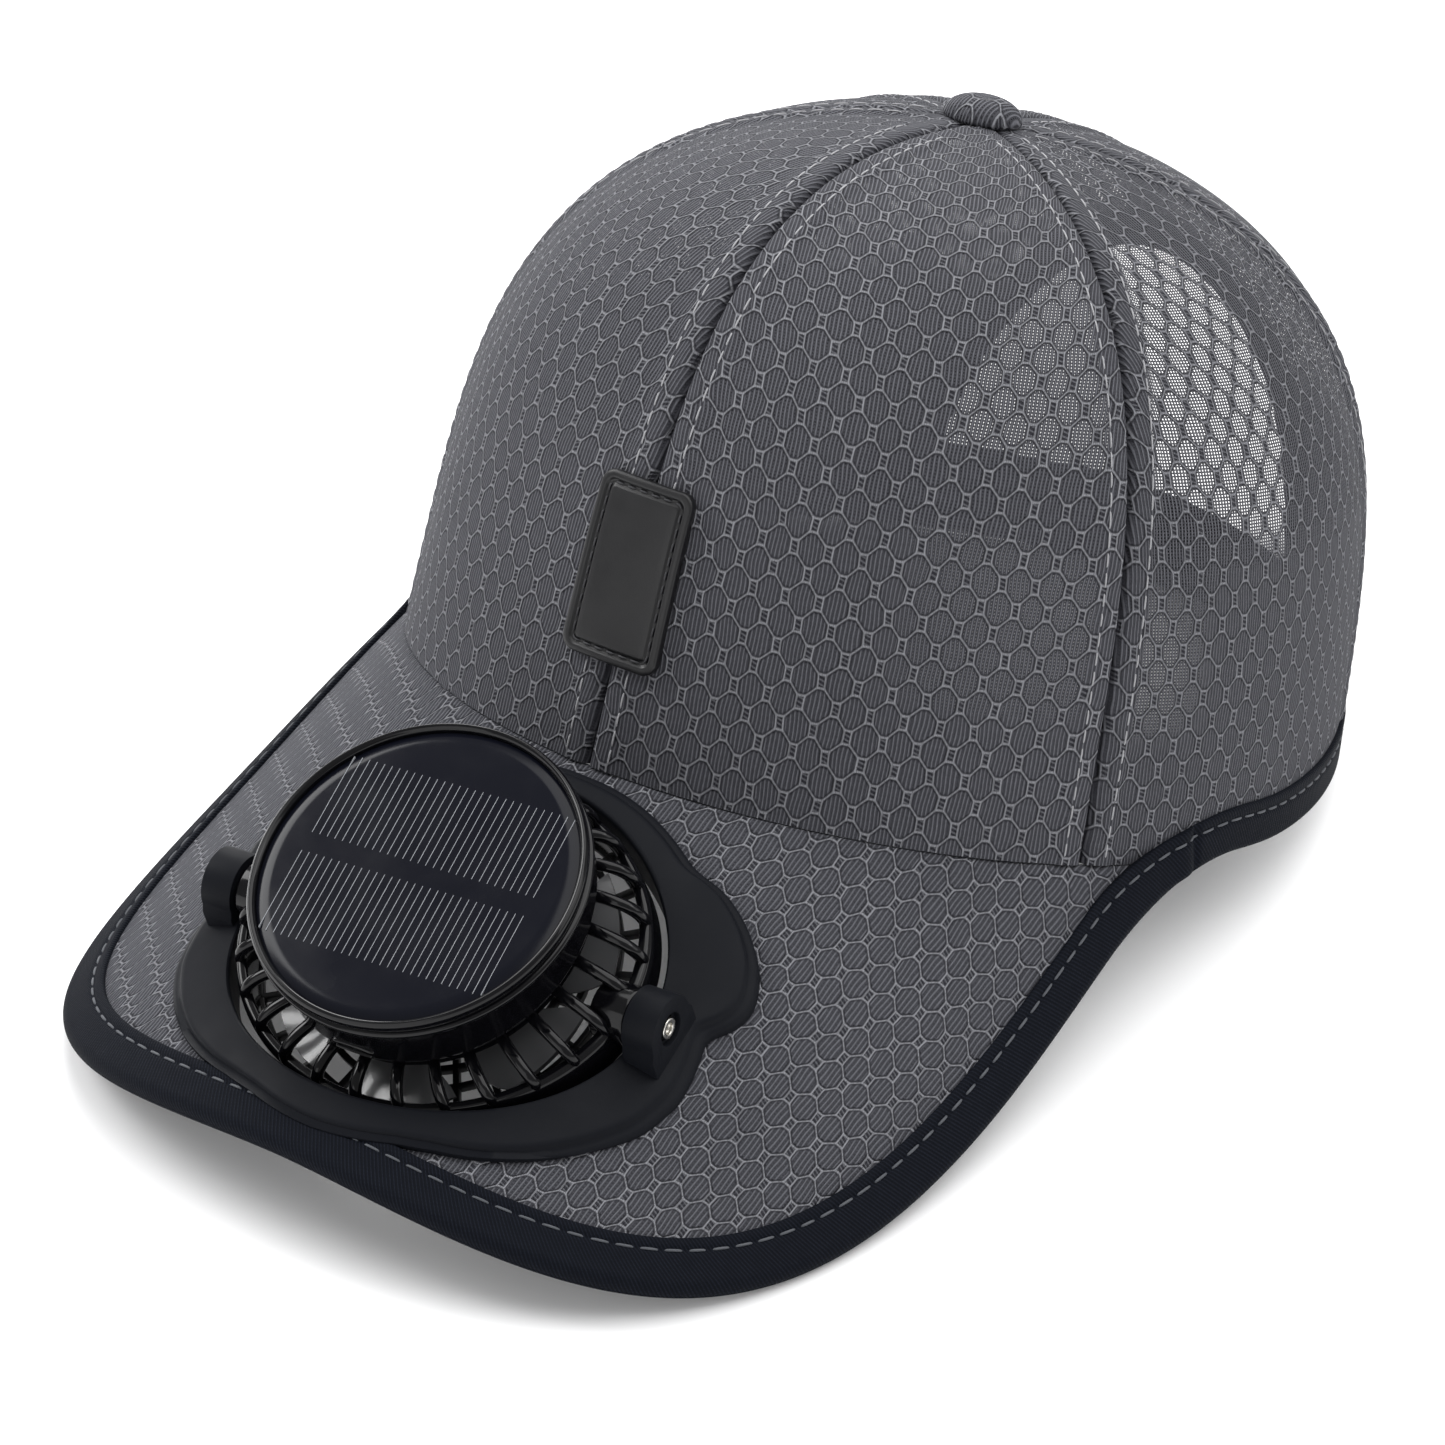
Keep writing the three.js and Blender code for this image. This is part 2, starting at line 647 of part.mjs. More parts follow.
function rib(turn) {
  const stations = span(0, 1, 3).map((s) => {
    const quarter = s * 90 * DEGREE;
    const out = Math.sin(quarter);
    const angle = turn + ribSwirl * DEGREE * s;
    const across = ribTopRadius + (cageHalfWidth - cageWall / 2 - ribTopRadius) * out;
    const along = ribTopRadius + (cageHalfLength - cageWall / 2 - ribTopRadius) * out;
    const back = headBack + (holeBack - headBack) * out;
    const height = ribTopHeight - (ribTopHeight - cageTop * 0.4) * (1 - Math.cos(quarter));
    return new THREE.Vector3(across * Math.cos(angle), back + along * Math.sin(angle), height);
  });
  const sections = stations.map((p, k) => {
    const before = stations[Math.max(k - 1, 0)];
    const after = stations[Math.min(k + 1, stations.length - 1)];
    const path = after.clone().sub(before).normalize();
    const outward = new THREE.Vector3(p.x, p.y - holeBack, 0).normalize();
    const across = new THREE.Vector3().crossVectors(path, outward).normalize();
    const deep = new THREE.Vector3().crossVectors(across, path).normalize();
    return [[-1, -1], [1, -1], [1, 1], [-1, 1]].map(([u, v]) => p.clone()
      .addScaledVector(across, u * ribWidth / 2)
      .addScaledVector(deep, v * ribDepth / 2));
  });
  return loft(sections, square);
}

function fanCage() {
  const rim = (a, within, z) => new THREE.Vector3(
    (cageHalfWidth - within) * Math.cos(a),
    holeBack + (cageHalfLength - within) * Math.sin(a),
    z,
  );
  const outer = turns(34).map((a) => [
    rim(a, 0.4, cageBottom), rim(a, 0, cageBottom + 1), rim(a, 0, cageTop - 1.2), rim(a, 1, cageTop),
  ]);
  const inner = turns(34).map((a) => [
    rim(a, cageWall, cageBottom), rim(a, cageWall, cageBottom + 1), rim(a, cageWall, cageTop - 1.2), rim(a, cageWall, cageTop),
  ]);
  const ring = wallBetween(outer, inner, true);
  const crownRing = turned([
    [ribTopRadius - 2.4, ribTopHeight - 1], [ribTopRadius + 1, ribTopHeight - 1],
    [ribTopRadius + 0.6, housingBottom - gap], [ribTopRadius - 2.4, housingBottom - gap],
  ], 26, true).translate(0, headBack, 0);
  const ribs = turns(ribCount).map(rib);
  const pin = earInside + earThickness - screwRecess - gap;
  const sides = [1, -1].flatMap((side) => [
    rodAlongX(bossRadius, ...[side * bossInside, side * (earInside - gap)].sort((a, b) => a - b), 14),
    rodAlongX(pinRadius, ...[side * bossInside, side * pin].sort((a, b) => a - b), 10),
  ]);
  return joined([ring, crownRing, ...ribs, ...sides]);
}

function housing() {
  const wide = headRadius - 1;
  const flange = headTop - 4.1;
  return turned([
    [0, housingBottom], [wide - 1.2, housingBottom], [wide - 0.2, housingBottom + 0.5], [wide - 0.2, flange - 0.3],
    [headRadius + 0.2, flange], [headRadius + 0.2, flange + 1], [wide + 0.2, flange + 1.3],
    [wide + 0.2, headTop - bezelHeight - gap], [0, headTop - bezelHeight - gap],
  ], 34);
}

function bezel() {
  const low = headTop - bezelHeight;
  return turned([
    [headRadius - bezelWidth, low], [headRadius - 0.2, low], [headRadius, low + 0.6], [headRadius - 0.3, headTop - 0.5],
    [headRadius - 1, headTop], [headRadius - bezelWidth + 0.6, headTop - 0.3], [headRadius - bezelWidth, headTop - 0.8],
  ], 34, true);
}

function solarDisc() {
  const radius = headRadius - bezelWidth - gap;
  const low = headTop - bezelHeight;
  const high = headTop - panelRecess - 0.4;
  return turned([[0, low], [radius, low], [radius, high], [0, high]], 34);
}

function chargePort() {
  const slot = new THREE.Shape();
  const [half, tall] = [2.8, 0.9];
  slot.absarc(half, 0, tall, -90 * DEGREE, 90 * DEGREE);
  slot.absarc(-half, 0, tall, 90 * DEGREE, 270 * DEGREE);
  const plug = new THREE.ExtrudeGeometry(slot, { depth: 0.9, bevelEnabled: false, curveSegments: 4 });
  plug.rotateX(90 * DEGREE);
  return plug.translate(0, -(headRadius - 1.2 + gap), housingBottom + 0.6 + tall);
}

const headLift = { grille: cageBottom - gap - grilleThickness, hub: -2.2 };

function rearGrille() {
  const low = headLift.grille;
  const high = low + grilleThickness;
  const hoop = (inside, outside, segments) => turned([
    [inside, low], [outside, low], [outside, high], [inside, high],
  ], segments, true);
  const rim = (within) => turns(26).map((a) => [low, high].map((z) => new THREE.Vector3(
    (cageHalfWidth - within) * Math.cos(a),
    (cageHalfLength - within) * Math.sin(a),
    z,
  )));
  const spokes = span(0, 180, grilleSpokes / 2).slice(0, -1).map((a) => {
    const long = 2 * Math.hypot((cageHalfWidth - cageWall) * Math.cos(a * DEGREE), (cageHalfLength - cageWall) * Math.sin(a * DEGREE));
    const bar = new THREE.BoxGeometry(long, grilleBar, grilleThickness);
    bar.translate(0, 0, (low + high) / 2);
    return bar.rotateZ(a * DEGREE);
  });
  const disc = turned([[0, low], [motorRadius, low], [motorRadius, high], [0, high]], 16);
  const hoops = [[0.715, 20], [0.48, 16]].map(([share, segments]) => {
    const inside = cageHalfLength * share;
    return hoop(inside, inside + grilleBar, segments);
  });
  return joined([wallBetween(rim(0.9), rim(cageWall + 0.4), true), ...hoops, disc, ...spokes]);
}

function motor() {
  const low = headLift.hub + hubHeight + gap;
  const high = housingBottom - gap;
  return turned([
    [0, low - 3], [1, low - 3], [1, low], [motorRadius, low], [motorRadius, high], [0, high],
  ], 16);
}

function rotor() {
  const low = headLift.hub;
  const high = low + hubHeight;
  const hub = turned([
    [0, low], [hubRadius - 1, low], [hubRadius, low + 1], [hubRadius, high], [1 + gap, high], [1 + gap, high - 3.4],
    [0, high - 3.4],
  ], 20);
  const blades = span(0, 360, bladeCount).slice(0, -1).map((turn) => {
    const sections = span(0, 1, 3).map((s) => {
      const radius = hubRadius - 0.6 + (bladeReach - hubRadius + 0.6) * s;
      const half = 13 + 9 * s;
      const tilt = Math.tan((bladeTwist - 12 * s) * DEGREE);
      const middle = turn * DEGREE + 0.5 * s;
      const edge = (side, lift) => {
        const chord = Math.min(half * DEGREE, (2.3 / tilt) / radius);
        const angle = middle + side * chord;
        const height = low + hubHeight / 2 + side * chord * radius * tilt + lift;
        return new THREE.Vector3(radius * Math.cos(angle), radius * Math.sin(angle), height);
      };
      const half2 = bladeThickness / 2;
      return [edge(-1, -half2), edge(1, -half2), edge(1, half2), edge(-1, half2)];
    });
    return loft(sections, square);
  });
  return joined([hub, ...blades]);
}

function pivotScrew(side) {
  const out = earInside + earThickness;
  const [near, far] = [out - screwRecess, out - gap];
  return rodAlongX(pinRadius - 0.1, Math.min(side * near, side * far), Math.max(side * near, side * far), 12);
}

// How the cap stands: the peak's two corners and the strap share one level

function lowest(points, pitch) {
  const heights = points.map((p) => -p.y * Math.sin(pitch) + p.z * Math.cos(pitch));
  return Math.min(...heights);
}

const cornerPoints = edgeShares.filter((s) => s > 0).flatMap((share) => {
  const { inset, flat } = edgeFrame(share);
  return tapeSection(tapeWidth, visorWall).map(({ x, y }) => {
    const p = inset(x * flat);
    return onVisor(p.x, p.y, y - visorWall / 2);
  });
});
const strapPoints = [onCrown(Math.PI, 0, -(panelWall + 2 * gap + tapeWall)), onCrown(Math.PI, 0, -(panelWall + 3 * gap + tapeWall + 2 * strapWall))];

function restingPitch() {
  let [low, high] = [2 * DEGREE, 30 * DEGREE];
  for (let k = 0; k < 40; k += 1) {
    const middle = (low + high) / 2;
    if (lowest(cornerPoints, middle) < lowest(strapPoints, middle)) low = middle;
    else high = middle;
  }
  return (low + high) / 2;
}

const capPitch = restingPitch();
const floorLevel = lowest(strapPoints, capPitch) + restFlat;

// Cloth that would reach under the floor is pressed flat on it
function pressed(geometry) {
  const place = geometry.attributes.position;
  for (let k = 0; k < place.count; k += 1) {
    const p = new THREE.Vector3().fromBufferAttribute(place, k);
    const level = -p.y * Math.sin(capPitch) + p.z * Math.cos(capPitch);
    if (level < floorLevel) {
      const lift = floorLevel - level;
      place.setXYZ(k, p.x, p.y - lift * Math.sin(capPitch), p.z + lift * Math.cos(capPitch));
    }
  }
  return geometry;
}

// Assembly

const hat = new THREE.Group();
const cap = new THREE.Group();
const fan = new THREE.Group();
const head = new THREE.Group();
const round = new THREE.Group();
const inner = new THREE.Group();
hat.add(cap);
cap.add(fan);
fan.add(head);
head.add(round);
head.add(inner);

function add(group, name, geometry, finish) {
  const mesh = new THREE.Mesh(geometry, new THREE.MeshStandardMaterial(finish));
  mesh.name = name;
  group.add(mesh);
}

for (const [side, name] of [[1, 'left'], [-1, 'right']]) {
  add(cap, `panel_front_${name}`, crownPanel(0, 60, side), finishes.mesh);
  add(cap, `panel_side_${name}`, crownPanel(60, 120, side), finishes.mesh);
  add(cap, `panel_back_${name}`, crownPanel(120, 180, side), finishes.mesh);
  add(cap, `rim_binding_${name}`, pressed(rimTape(side)), finishes.tape);
  add(cap, `strap_${name}`, pressed(strap(side)), finishes.tape);
}
add(cap, 'arch_binding', pressed(archTape()), finishes.tape);
add(cap, 'top_button', topButton(), finishes.mesh);
add(cap, 'visor', cutBy(visorSheet(), [visorHoleTool()]), finishes.mesh);
add(cap, 'visor_binding', pressed(visorTape()), finishes.tape);
add(cap, 'front_patch', frontPatch(), finishes.rubber);
add(fan, 'fan_base', fanBase(), finishes.plate);
add(fan, 'under_ring', underRing(), finishes.plate);

add(head, 'fan_cage', fanCage(), finishes.gloss);
add(head, 'pivot_screw_left', pivotScrew(1), finishes.steel);
add(head, 'pivot_screw_right', pivotScrew(-1), finishes.steel);
add(inner, 'rear_grille', rearGrille(), finishes.gloss);
add(round, 'fan_housing', housing(), finishes.gloss);
add(round, 'fan_bezel', bezel(), finishes.gloss);
add(round, 'solar_panel', solarDisc(), finishes.cell);
add(round, 'charge_port', chargePort(), finishes.rubber);
add(inner, 'fan_motor', motor(), finishes.steel);
add(inner, 'fan_rotor', rotor(), finishes.blade);

cap.rotation.x = -capPitch;
fan.applyMatrix4(fanMatrix);
head.rotation.x = headTilt * DEGREE;
round.position.y = headBack;
inner.position.y = holeBack;

// The origin is the middle of the footprint, on the floor
hat.updateMatrixWorld(true);
const reach = new THREE.Box3().setFromObject(hat, true);
const middle = reach.getCenter(new THREE.Vector3());
cap.position.set(-middle.x, -middle.y, -reach.min.z);
hat.updateMatrixWorld(true);

export default hat;
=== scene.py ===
import json
import math

import bmesh
import bpy
import numpy as np
from mathutils import Matrix, Vector


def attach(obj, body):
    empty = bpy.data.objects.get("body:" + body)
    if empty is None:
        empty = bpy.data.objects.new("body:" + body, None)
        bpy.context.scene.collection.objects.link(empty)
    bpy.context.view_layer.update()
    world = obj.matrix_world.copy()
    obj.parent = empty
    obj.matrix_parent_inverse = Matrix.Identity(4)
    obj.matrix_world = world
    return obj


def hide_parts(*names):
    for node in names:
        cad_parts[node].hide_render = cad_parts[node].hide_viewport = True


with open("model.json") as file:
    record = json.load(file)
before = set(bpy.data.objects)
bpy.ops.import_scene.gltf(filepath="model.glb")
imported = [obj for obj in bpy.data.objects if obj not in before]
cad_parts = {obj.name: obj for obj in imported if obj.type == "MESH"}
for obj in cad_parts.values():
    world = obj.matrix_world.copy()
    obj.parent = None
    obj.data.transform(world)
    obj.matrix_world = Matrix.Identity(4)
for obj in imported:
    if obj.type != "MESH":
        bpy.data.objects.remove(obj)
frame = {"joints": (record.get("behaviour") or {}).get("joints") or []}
scene = bpy.context.scene
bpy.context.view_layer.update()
rng = np.random.default_rng(7)

# Sizes in millimetres, in the cap's own frame unless a line says otherwise
GAP = 0.3
CROWN_HALF_WIDTH = 84.5
CROWN_FRONT = 95.6
CROWN_BACK = 94.2
CROWN_TOP = 112.7
CROWN_LEAN = -0.4
DOME_SQUARENESS = 0.537
SIDE_ROUNDNESS = 1.0
FRONT_ROUNDNESS = 0.693
SIDE_FLARE = 0.04
FRONT_FLARE = 0.062
RIM_SIDE = 2.2
RIM_FRONT = 7.3
RIM_BACK = 12.4
PANEL_WALL = 1.3
BUTTON_RADIUS = 7.2
BUTTON_HEIGHT = 4.4

VISOR_HALF_WIDTH = CROWN_HALF_WIDTH * 0.9787
VISOR_SWELL = 0.087
VISOR_REACH = 130.4
VISOR_ROOT = -39.3
VISOR_SIDE_ROUND = 2.378
VISOR_FRONT_ROUND = 3.386
VISOR_SLOPE = 0.7065
VISOR_ARCH = 0.00637
VISOR_ARCH_FADE = 0.28
VISOR_START = 7.0
VISOR_WALL = 3.0
VISOR_END_ANGLE = math.radians(70)
VISOR_BINDING_END = -28
PEAK_DEPTH = VISOR_REACH - VISOR_ROOT - CROWN_FRONT

TAPE_WIDTH = PEAK_DEPTH * 0.1296
RIM_TAPE_WIDTH = 8.8
ARCH_TAPE_WIDTH = 7
TAPE_WALL = 0.8
HEM = TAPE_WALL + GAP

ARCH_HALF_ANGLE = math.radians(30)
ARCH_HEIGHT = 68
STRAP_WIDTH = 18
STRAP_WALL = 1.4
STRAP_END_ANGLE = math.radians(40)
STRAP_OVERLAP = math.radians(10)

PATCH_WIDTH = 19.5
PATCH_HEIGHT = 32
PATCH_BOTTOM = 18.5
PATCH_THICKNESS = 1.8
PATCH_CORNER = 2.6

BASE_RADIUS = PEAK_DEPTH * 0.6208
PIVOT_DISTANCE = PEAK_DEPTH * 0.5965
HOLE_HALF_WIDTH = BASE_RADIUS * 0.8478
HOLE_HALF_LENGTH = BASE_RADIUS * 0.7478
HOLE_BACK = BASE_RADIUS * 0.0283
BASE_THICKNESS = 2.6
BASE_REAR_RISE = 1.3
COLLAR_WALL = 0.8
UNDER_RING_WIDTH = 2.7
UNDER_RING_THICKNESS = 1.8
PIVOT_HEIGHT = -1.3
FAN_TURN = math.radians(4.5)
EAR_INSIDE = HOLE_HALF_WIDTH + GAP
EAR_THICKNESS = 6
EAR_RADIUS = 5.9
EAR_FOOT = 6.6
SCREW_RECESS = 1.1
SCREW_RECESS_RADIUS = 3.0

HEAD_TILT = math.radians(8.4)
HEAD_BACK = 3.6
CAGE_HALF_WIDTH = HOLE_HALF_WIDTH - 1.4
CAGE_HALF_LENGTH = HOLE_HALF_LENGTH - 1.4
CAGE_WALL = 2.2
CAGE_TOP = 2.4
CAGE_BOTTOM = -5.3
RIB_COUNT = 28
RIB_BELOW_HOUSING = 1.6
RIB_WIDTH = 2.1
RIB_DEPTH = 2.1
RIB_BULGE = 0.72
RIB_SWIRL = math.radians(2)
BOSS_RADIUS = 5.2
BOSS_INSIDE = CAGE_HALF_WIDTH - 5.4
PIN_RADIUS = 2.0
HEAD_RADIUS = BASE_RADIUS * 0.6435
RIB_TOP_RADIUS = HEAD_RADIUS - 3.4
HEAD_TOP = 20.6
BEZEL_WIDTH = 1.5
BEZEL_HEIGHT = 2.1
HOUSING_BOTTOM = 8.6
HOUSING_WEDGE = 0.105
GRILLE_THICKNESS = 1.6
GRILLE_BAR = 1.2
HUB_RADIUS = BASE_RADIUS * 0.2174
MOTOR_RADIUS = HUB_RADIUS * 0.8
HUB_HEIGHT = 7
HUB_LOW = -4.8
BLADE_COUNT = 7
BLADE_REACH = CAGE_HALF_LENGTH - 2.8
BLADE_TWIST = 22
BLADE_THICKNESS = 1.0

# The edge tape: the stretch in which it turns from the peak's edge to the crown's, its crease, its stitches
EDGE_TWIST_FROM = -50
EDGE_TWIST_TO = math.radians(84)
EDGE_TWIST_STEPS = 90
CREASE_AT = 0.66
CREASE_DEPTH = 0.7
STITCH_FROM_EDGE = 2.3

# The solar panel: its face, and the turned block of cell lines on it
PANEL_FACE = HEAD_TOP - 0.8
CELL_HALF_WIDTH = 22.4
CELL_HALF_HEIGHT = 17.7
CELL_LINES = 30
CELL_SPLIT = 1.85
CELL_TURN = math.radians(1.5)
CELL_LINE_HALF = 0.05

# How the cap stands: its pitch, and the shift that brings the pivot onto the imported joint
CAP_PITCH = math.radians(16.4937)


def stack(*columns):
    return np.stack(np.broadcast_arrays(*columns), -1)


def unit(v):
    return v / np.maximum(np.linalg.norm(v, axis=-1, keepdims=True), 1e-12)


def smooth(x, low, high):
    t = np.clip((x - low) / (high - low), 0, 1)
    return t * t * (3 - 2 * t)


# Crown surface: an angle from the front, positive to the wearer's left, and a share of the way up

def rim_height(angle):
    front = np.maximum(np.cos(angle), 0) ** 1.5
    back = np.maximum(-np.cos(angle), 0) ** 1.5
    return RIM_SIDE + (RIM_FRONT - RIM_SIDE) * front + (RIM_BACK - RIM_SIDE) * back


def crown_point(angle, rise):
    share = np.clip(rise, 0, 1)
    turn = np.arcsin(share ** (1 / DOME_SQUARENESS))
    front = np.maximum(np.cos(angle), 0) ** 2
    roundness = SIDE_ROUNDNESS + (FRONT_ROUNDNESS - SIDE_ROUNDNESS) * front
    flare = SIDE_FLARE + (FRONT_FLARE - SIDE_FLARE) * front
    reach = np.cos(turn) ** roundness * (1 + flare * (1 - share) ** 2) / (1 + flare)
    depth = np.where(np.cos(angle) > 0, CROWN_FRONT, CROWN_BACK)
    rim = rim_height(angle)
    return stack(
        CROWN_HALF_WIDTH * reach * np.sin(angle),
        CROWN_LEAN * share - depth * reach * np.cos(angle),
        rim + (CROWN_TOP - rim) * share,
    )


def crown_out(angle, rise):
    step = 1e-3
    low = np.clip(rise, step, 1 - 2 * step)
    around = crown_point(angle + step, low) - crown_point(angle - step, low)
    up = crown_point(angle, low + step) - crown_point(angle, low - step)
    return unit(np.cross(around, up))


def rise_of(angle, height):
    return height / (CROWN_TOP - rim_height(angle))


def on_crown(angle, height, out):
    rise = rise_of(angle, height)
    return crown_point(angle, rise) + crown_out(angle, rise) * np.asarray(out)[..., None]


# Peak surface, as a height over the plan

def peak_height(x, y):
    ahead = -CROWN_FRONT - y
    return VISOR_START - VISOR_SLOPE * ahead - VISOR_ARCH * (1 - VISOR_ARCH_FADE * ahead / 100) * x ** 2


def visor_height(x, y):
    angle = np.arctan2(x / CROWN_HALF_WIDTH, -y / CROWN_FRONT)
    outside = np.hypot(x / CROWN_HALF_WIDTH, y / CROWN_FRONT) - 1
    rim = rim_height(angle) - GAP
    tie = rim - peak_height(CROWN_HALF_WIDTH * np.sin(angle), -CROWN_FRONT * np.cos(angle))
    fade = np.clip(1 - outside / 0.35, 0, 1) ** 2
    return np.where(outside < 0, rim, peak_height(x, y) + tie * fade)


def on_visor(x, y, out):
    step = 0.05
    dx = (visor_height(x + step, y) - visor_height(x - step, y)) / (2 * step)
    dy = (visor_height(x, y + step) - visor_height(x, y - step)) / (2 * step)
    normal = unit(stack(-dx, -dy, 1.0))
    return stack(x, y, visor_height(x, y)) + normal * np.asarray(out)[..., None]


def visor_edge(share):
    share = np.asarray(share, float)
    curved = 0.94
    size = np.abs(share)
    back = np.clip((size - curved) / (1 - curved), 0, 1)
    turn = np.clip(share / curved, -1, 1) * math.pi / 2
    reach = np.maximum(np.cos(turn), 0) ** (2 / VISOR_FRONT_ROUND)
    side = np.sign(turn) * np.abs(np.sin(turn)) ** (2 / VISOR_SIDE_ROUND)
    x = VISOR_HALF_WIDTH * (1 + VISOR_SWELL * reach) * side
    y = VISOR_ROOT - VISOR_REACH * reach
    end = size > curved
    x = np.where(end, np.sign(share) * VISOR_HALF_WIDTH, x)
    y = np.where(end, VISOR_ROOT + (VISOR_BINDING_END - VISOR_ROOT) * back, y)
    return stack(x, y)


def room_to_crown(foot, inward):
    room = np.arange(0, TAPE_WIDTH + 0.05, 0.05)
    p = foot + inward * (room[:, None] + GAP)
    inside = np.hypot(p[:, 0] / CROWN_HALF_WIDTH, p[:, 1] / CROWN_FRONT) <= 1
    return room[np.argmax(inside)] if inside.any() else TAPE_WIDTH


def edge_frame(share):
    step = 2e-3
    a = visor_edge(max(share - step, -1.0))
    b = visor_edge(min(share + step, 1.0))
    along = unit(b - a)
    inward = np.array([-along[1], along[0]])
    foot = visor_edge(share)
    slope = visor_height(*(foot + inward)) - visor_height(*foot)
    flat = 1 / math.sqrt(1 + slope ** 2)
    width = max(min(TAPE_WIDTH * flat, room_to_crown(foot, inward)), HEM + GAP)
    return foot, inward, flat, width


EDGE_SHARES = np.linspace(-1, 1, 401)
EDGE_SHARES = np.sign(EDGE_SHARES) * np.abs(EDGE_SHARES) ** 0.92
EDGE = [edge_frame(float(s)) for s in EDGE_SHARES]


# The fan's frame on the peak, and the frames from it to the row

SLOPE_ANGLE = math.atan(VISOR_SLOPE)
PIVOT_Y = -CROWN_FRONT - PIVOT_DISTANCE * math.cos(SLOPE_ANGLE)
OFF_SLOPE = np.array([0, -math.sin(SLOPE_ANGLE), math.cos(SLOPE_ANGLE)])
FAN_PLACE = np.array([0, PIVOT_Y, float(peak_height(0, PIVOT_Y))]) + OFF_SLOPE * PIVOT_HEIGHT
joints = {joint["name"]: joint for joint in frame["joints"]}
PITCH = Matrix.Rotation(-CAP_PITCH, 4, "X")
SHIFT = Vector(joints["head_tilt"]["pos_m"]) * 1000 - PITCH @ Vector(FAN_PLACE)
CAP = Matrix.Scale(0.001, 4) @ Matrix.Translation(SHIFT) @ PITCH
FAN_IN_CAP = (Matrix.Translation(FAN_PLACE) @ Matrix.Rotation(SLOPE_ANGLE, 4, "X")
              @ Matrix.Rotation(FAN_TURN, 4, "Z"))
FAN = CAP @ FAN_IN_CAP
HEAD = FAN @ Matrix.Rotation(HEAD_TILT, 4, "X")
ROUND = HEAD @ Matrix.Translation((0, HEAD_BACK, 0))
INNER = HEAD @ Matrix.Translation((0, HOLE_BACK, 0))
FAN_ROWS = np.array(FAN_IN_CAP)


def over_peak(x, y, out):
    x, y = np.broadcast_arrays(np.asarray(x, float), np.asarray(y, float))
    level = np.full(x.shape, -PIVOT_HEIGHT)
    for _ in range(14):
        p = stack(x, y, level) @ FAN_ROWS[:3, :3].T + FAN_ROWS[:3, 3]
        level = level - (p[..., 2] - visor_height(p[..., 0], p[..., 1])) * math.cos(SLOPE_ANGLE)
    normal = on_visor(p[..., 0], p[..., 1], 1.0) - on_visor(p[..., 0], p[..., 1], 0.0)
    return stack(x, y, level + out / (normal @ OFF_SLOPE))


def pressed(points):
    """Cloth that would reach under the floor lies flat on it."""
    rows = np.array(PITCH)[:3, :3]
    level = points @ rows[2] + SHIFT[2]
    lift = np.maximum(0.02 - level, 0)
    return points + lift[..., None] * rows[2]


# Mesh makers

def make(name, points, faces, place, uv=None, creased=False):
    mesh = bpy.data.meshes.new(name)
    mesh.from_pydata([tuple(p) for p in np.asarray(points, float)], [], faces)
    mesh.transform(place)
    if uv is not None:
        layer = mesh.uv_layers.new(name="cloth_mm")
        index = np.zeros(len(mesh.loops), np.int32)
        mesh.loops.foreach_get("vertex_index", index)
        layer.data.foreach_set("uv", np.asarray(uv, np.float32)[index].ravel())
    mesh.polygons.foreach_set("use_smooth", [not creased] * len(mesh.polygons))
    mesh.update()
    obj = bpy.data.objects.new(name, mesh)
    scene.collection.objects.link(obj)
    return obj


def grid_faces(rows, cols, around=False, across=False, start=0):
    faces = []
    for i in range(rows if around else rows - 1):
        for j in range(cols if across else cols - 1):
            a, b = i * cols, (i + 1) % rows * cols
            k = (j + 1) % cols
            faces.append((start + a + j, start + b + j, start + b + k, start + a + k))
    return faces


def sheet(name, grid, place, uv=None, around=False, across=False, flip=False):
    rows, cols = grid.shape[:2]
    faces = grid_faces(rows, cols, around, across)
    if flip:
        faces = [f[::-1] for f in faces]
    flat_uv = None if uv is None else uv.reshape(-1, 2)
    return make(name, grid.reshape(-1, 3), faces, place, flat_uv)


def outward(obj):
    """Turns a closed mesh's faces outward."""
    work = bmesh.new()
    work.from_mesh(obj.data)
    bmesh.ops.remove_doubles(work, verts=work.verts, dist=1e-7)
    bmesh.ops.recalc_face_normals(work, faces=work.faces)
    work.to_mesh(obj.data)
    work.free()
    return obj


def lathe(name, profile, place, segments=160, closed=False):
    """A turned piece about Z from a profile of radius and height."""
    turn = np.linspace(0, 2 * math.pi, segments, endpoint=False)
    profile = np.asarray(profile, float)
    r, z = profile[None, :, 0], profile[None, :, 1]
    grid = stack(r * np.cos(turn)[:, None], r * np.sin(turn)[:, None], z + 0 * turn[:, None])
    return outward(sheet(name, grid, place, around=True, across=closed))


def rounded(profile, radius=0.3, steps=4, closed=False):
    """The profile with each corner turned into a small arc."""
    pts = np.asarray(profile, float)
    count = len(pts)
    out = []
    for k in range(count):
        if not closed and k in (0, count - 1):
            out.append(pts[k])
            continue
        before, here, after = pts[k - 1], pts[k], pts[(k + 1) % count]
        a, b = before - here, after - here
        cut = min(radius, 0.45 * np.linalg.norm(a), 0.45 * np.linalg.norm(b))
        p, q = here + unit(a) * cut, here + unit(b) * cut
        for t in np.linspace(0, 1, steps + 1):
            out.append(p * (1 - t) ** 2 + here * 2 * t * (1 - t) + q * t ** 2)
    return np.array(out)


def join(name, objects):
    bpy.ops.object.select_all(action="DESELECT")
    for obj in objects:
        obj.select_set(True)
    bpy.context.view_layer.objects.active = objects[0]
    bpy.ops.object.join()
    joined = bpy.context.view_layer.objects.active
    joined.name = name
    joined.data.name = name
    return joined


def settle(obj):
    """Applies the object's modifiers to its mesh."""
    graph = bpy.context.evaluated_depsgraph_get()
    mesh = bpy.data.meshes.new_from_object(obj.evaluated_get(graph))
    obj.modifiers.clear()
    obj.data = mesh
    return obj


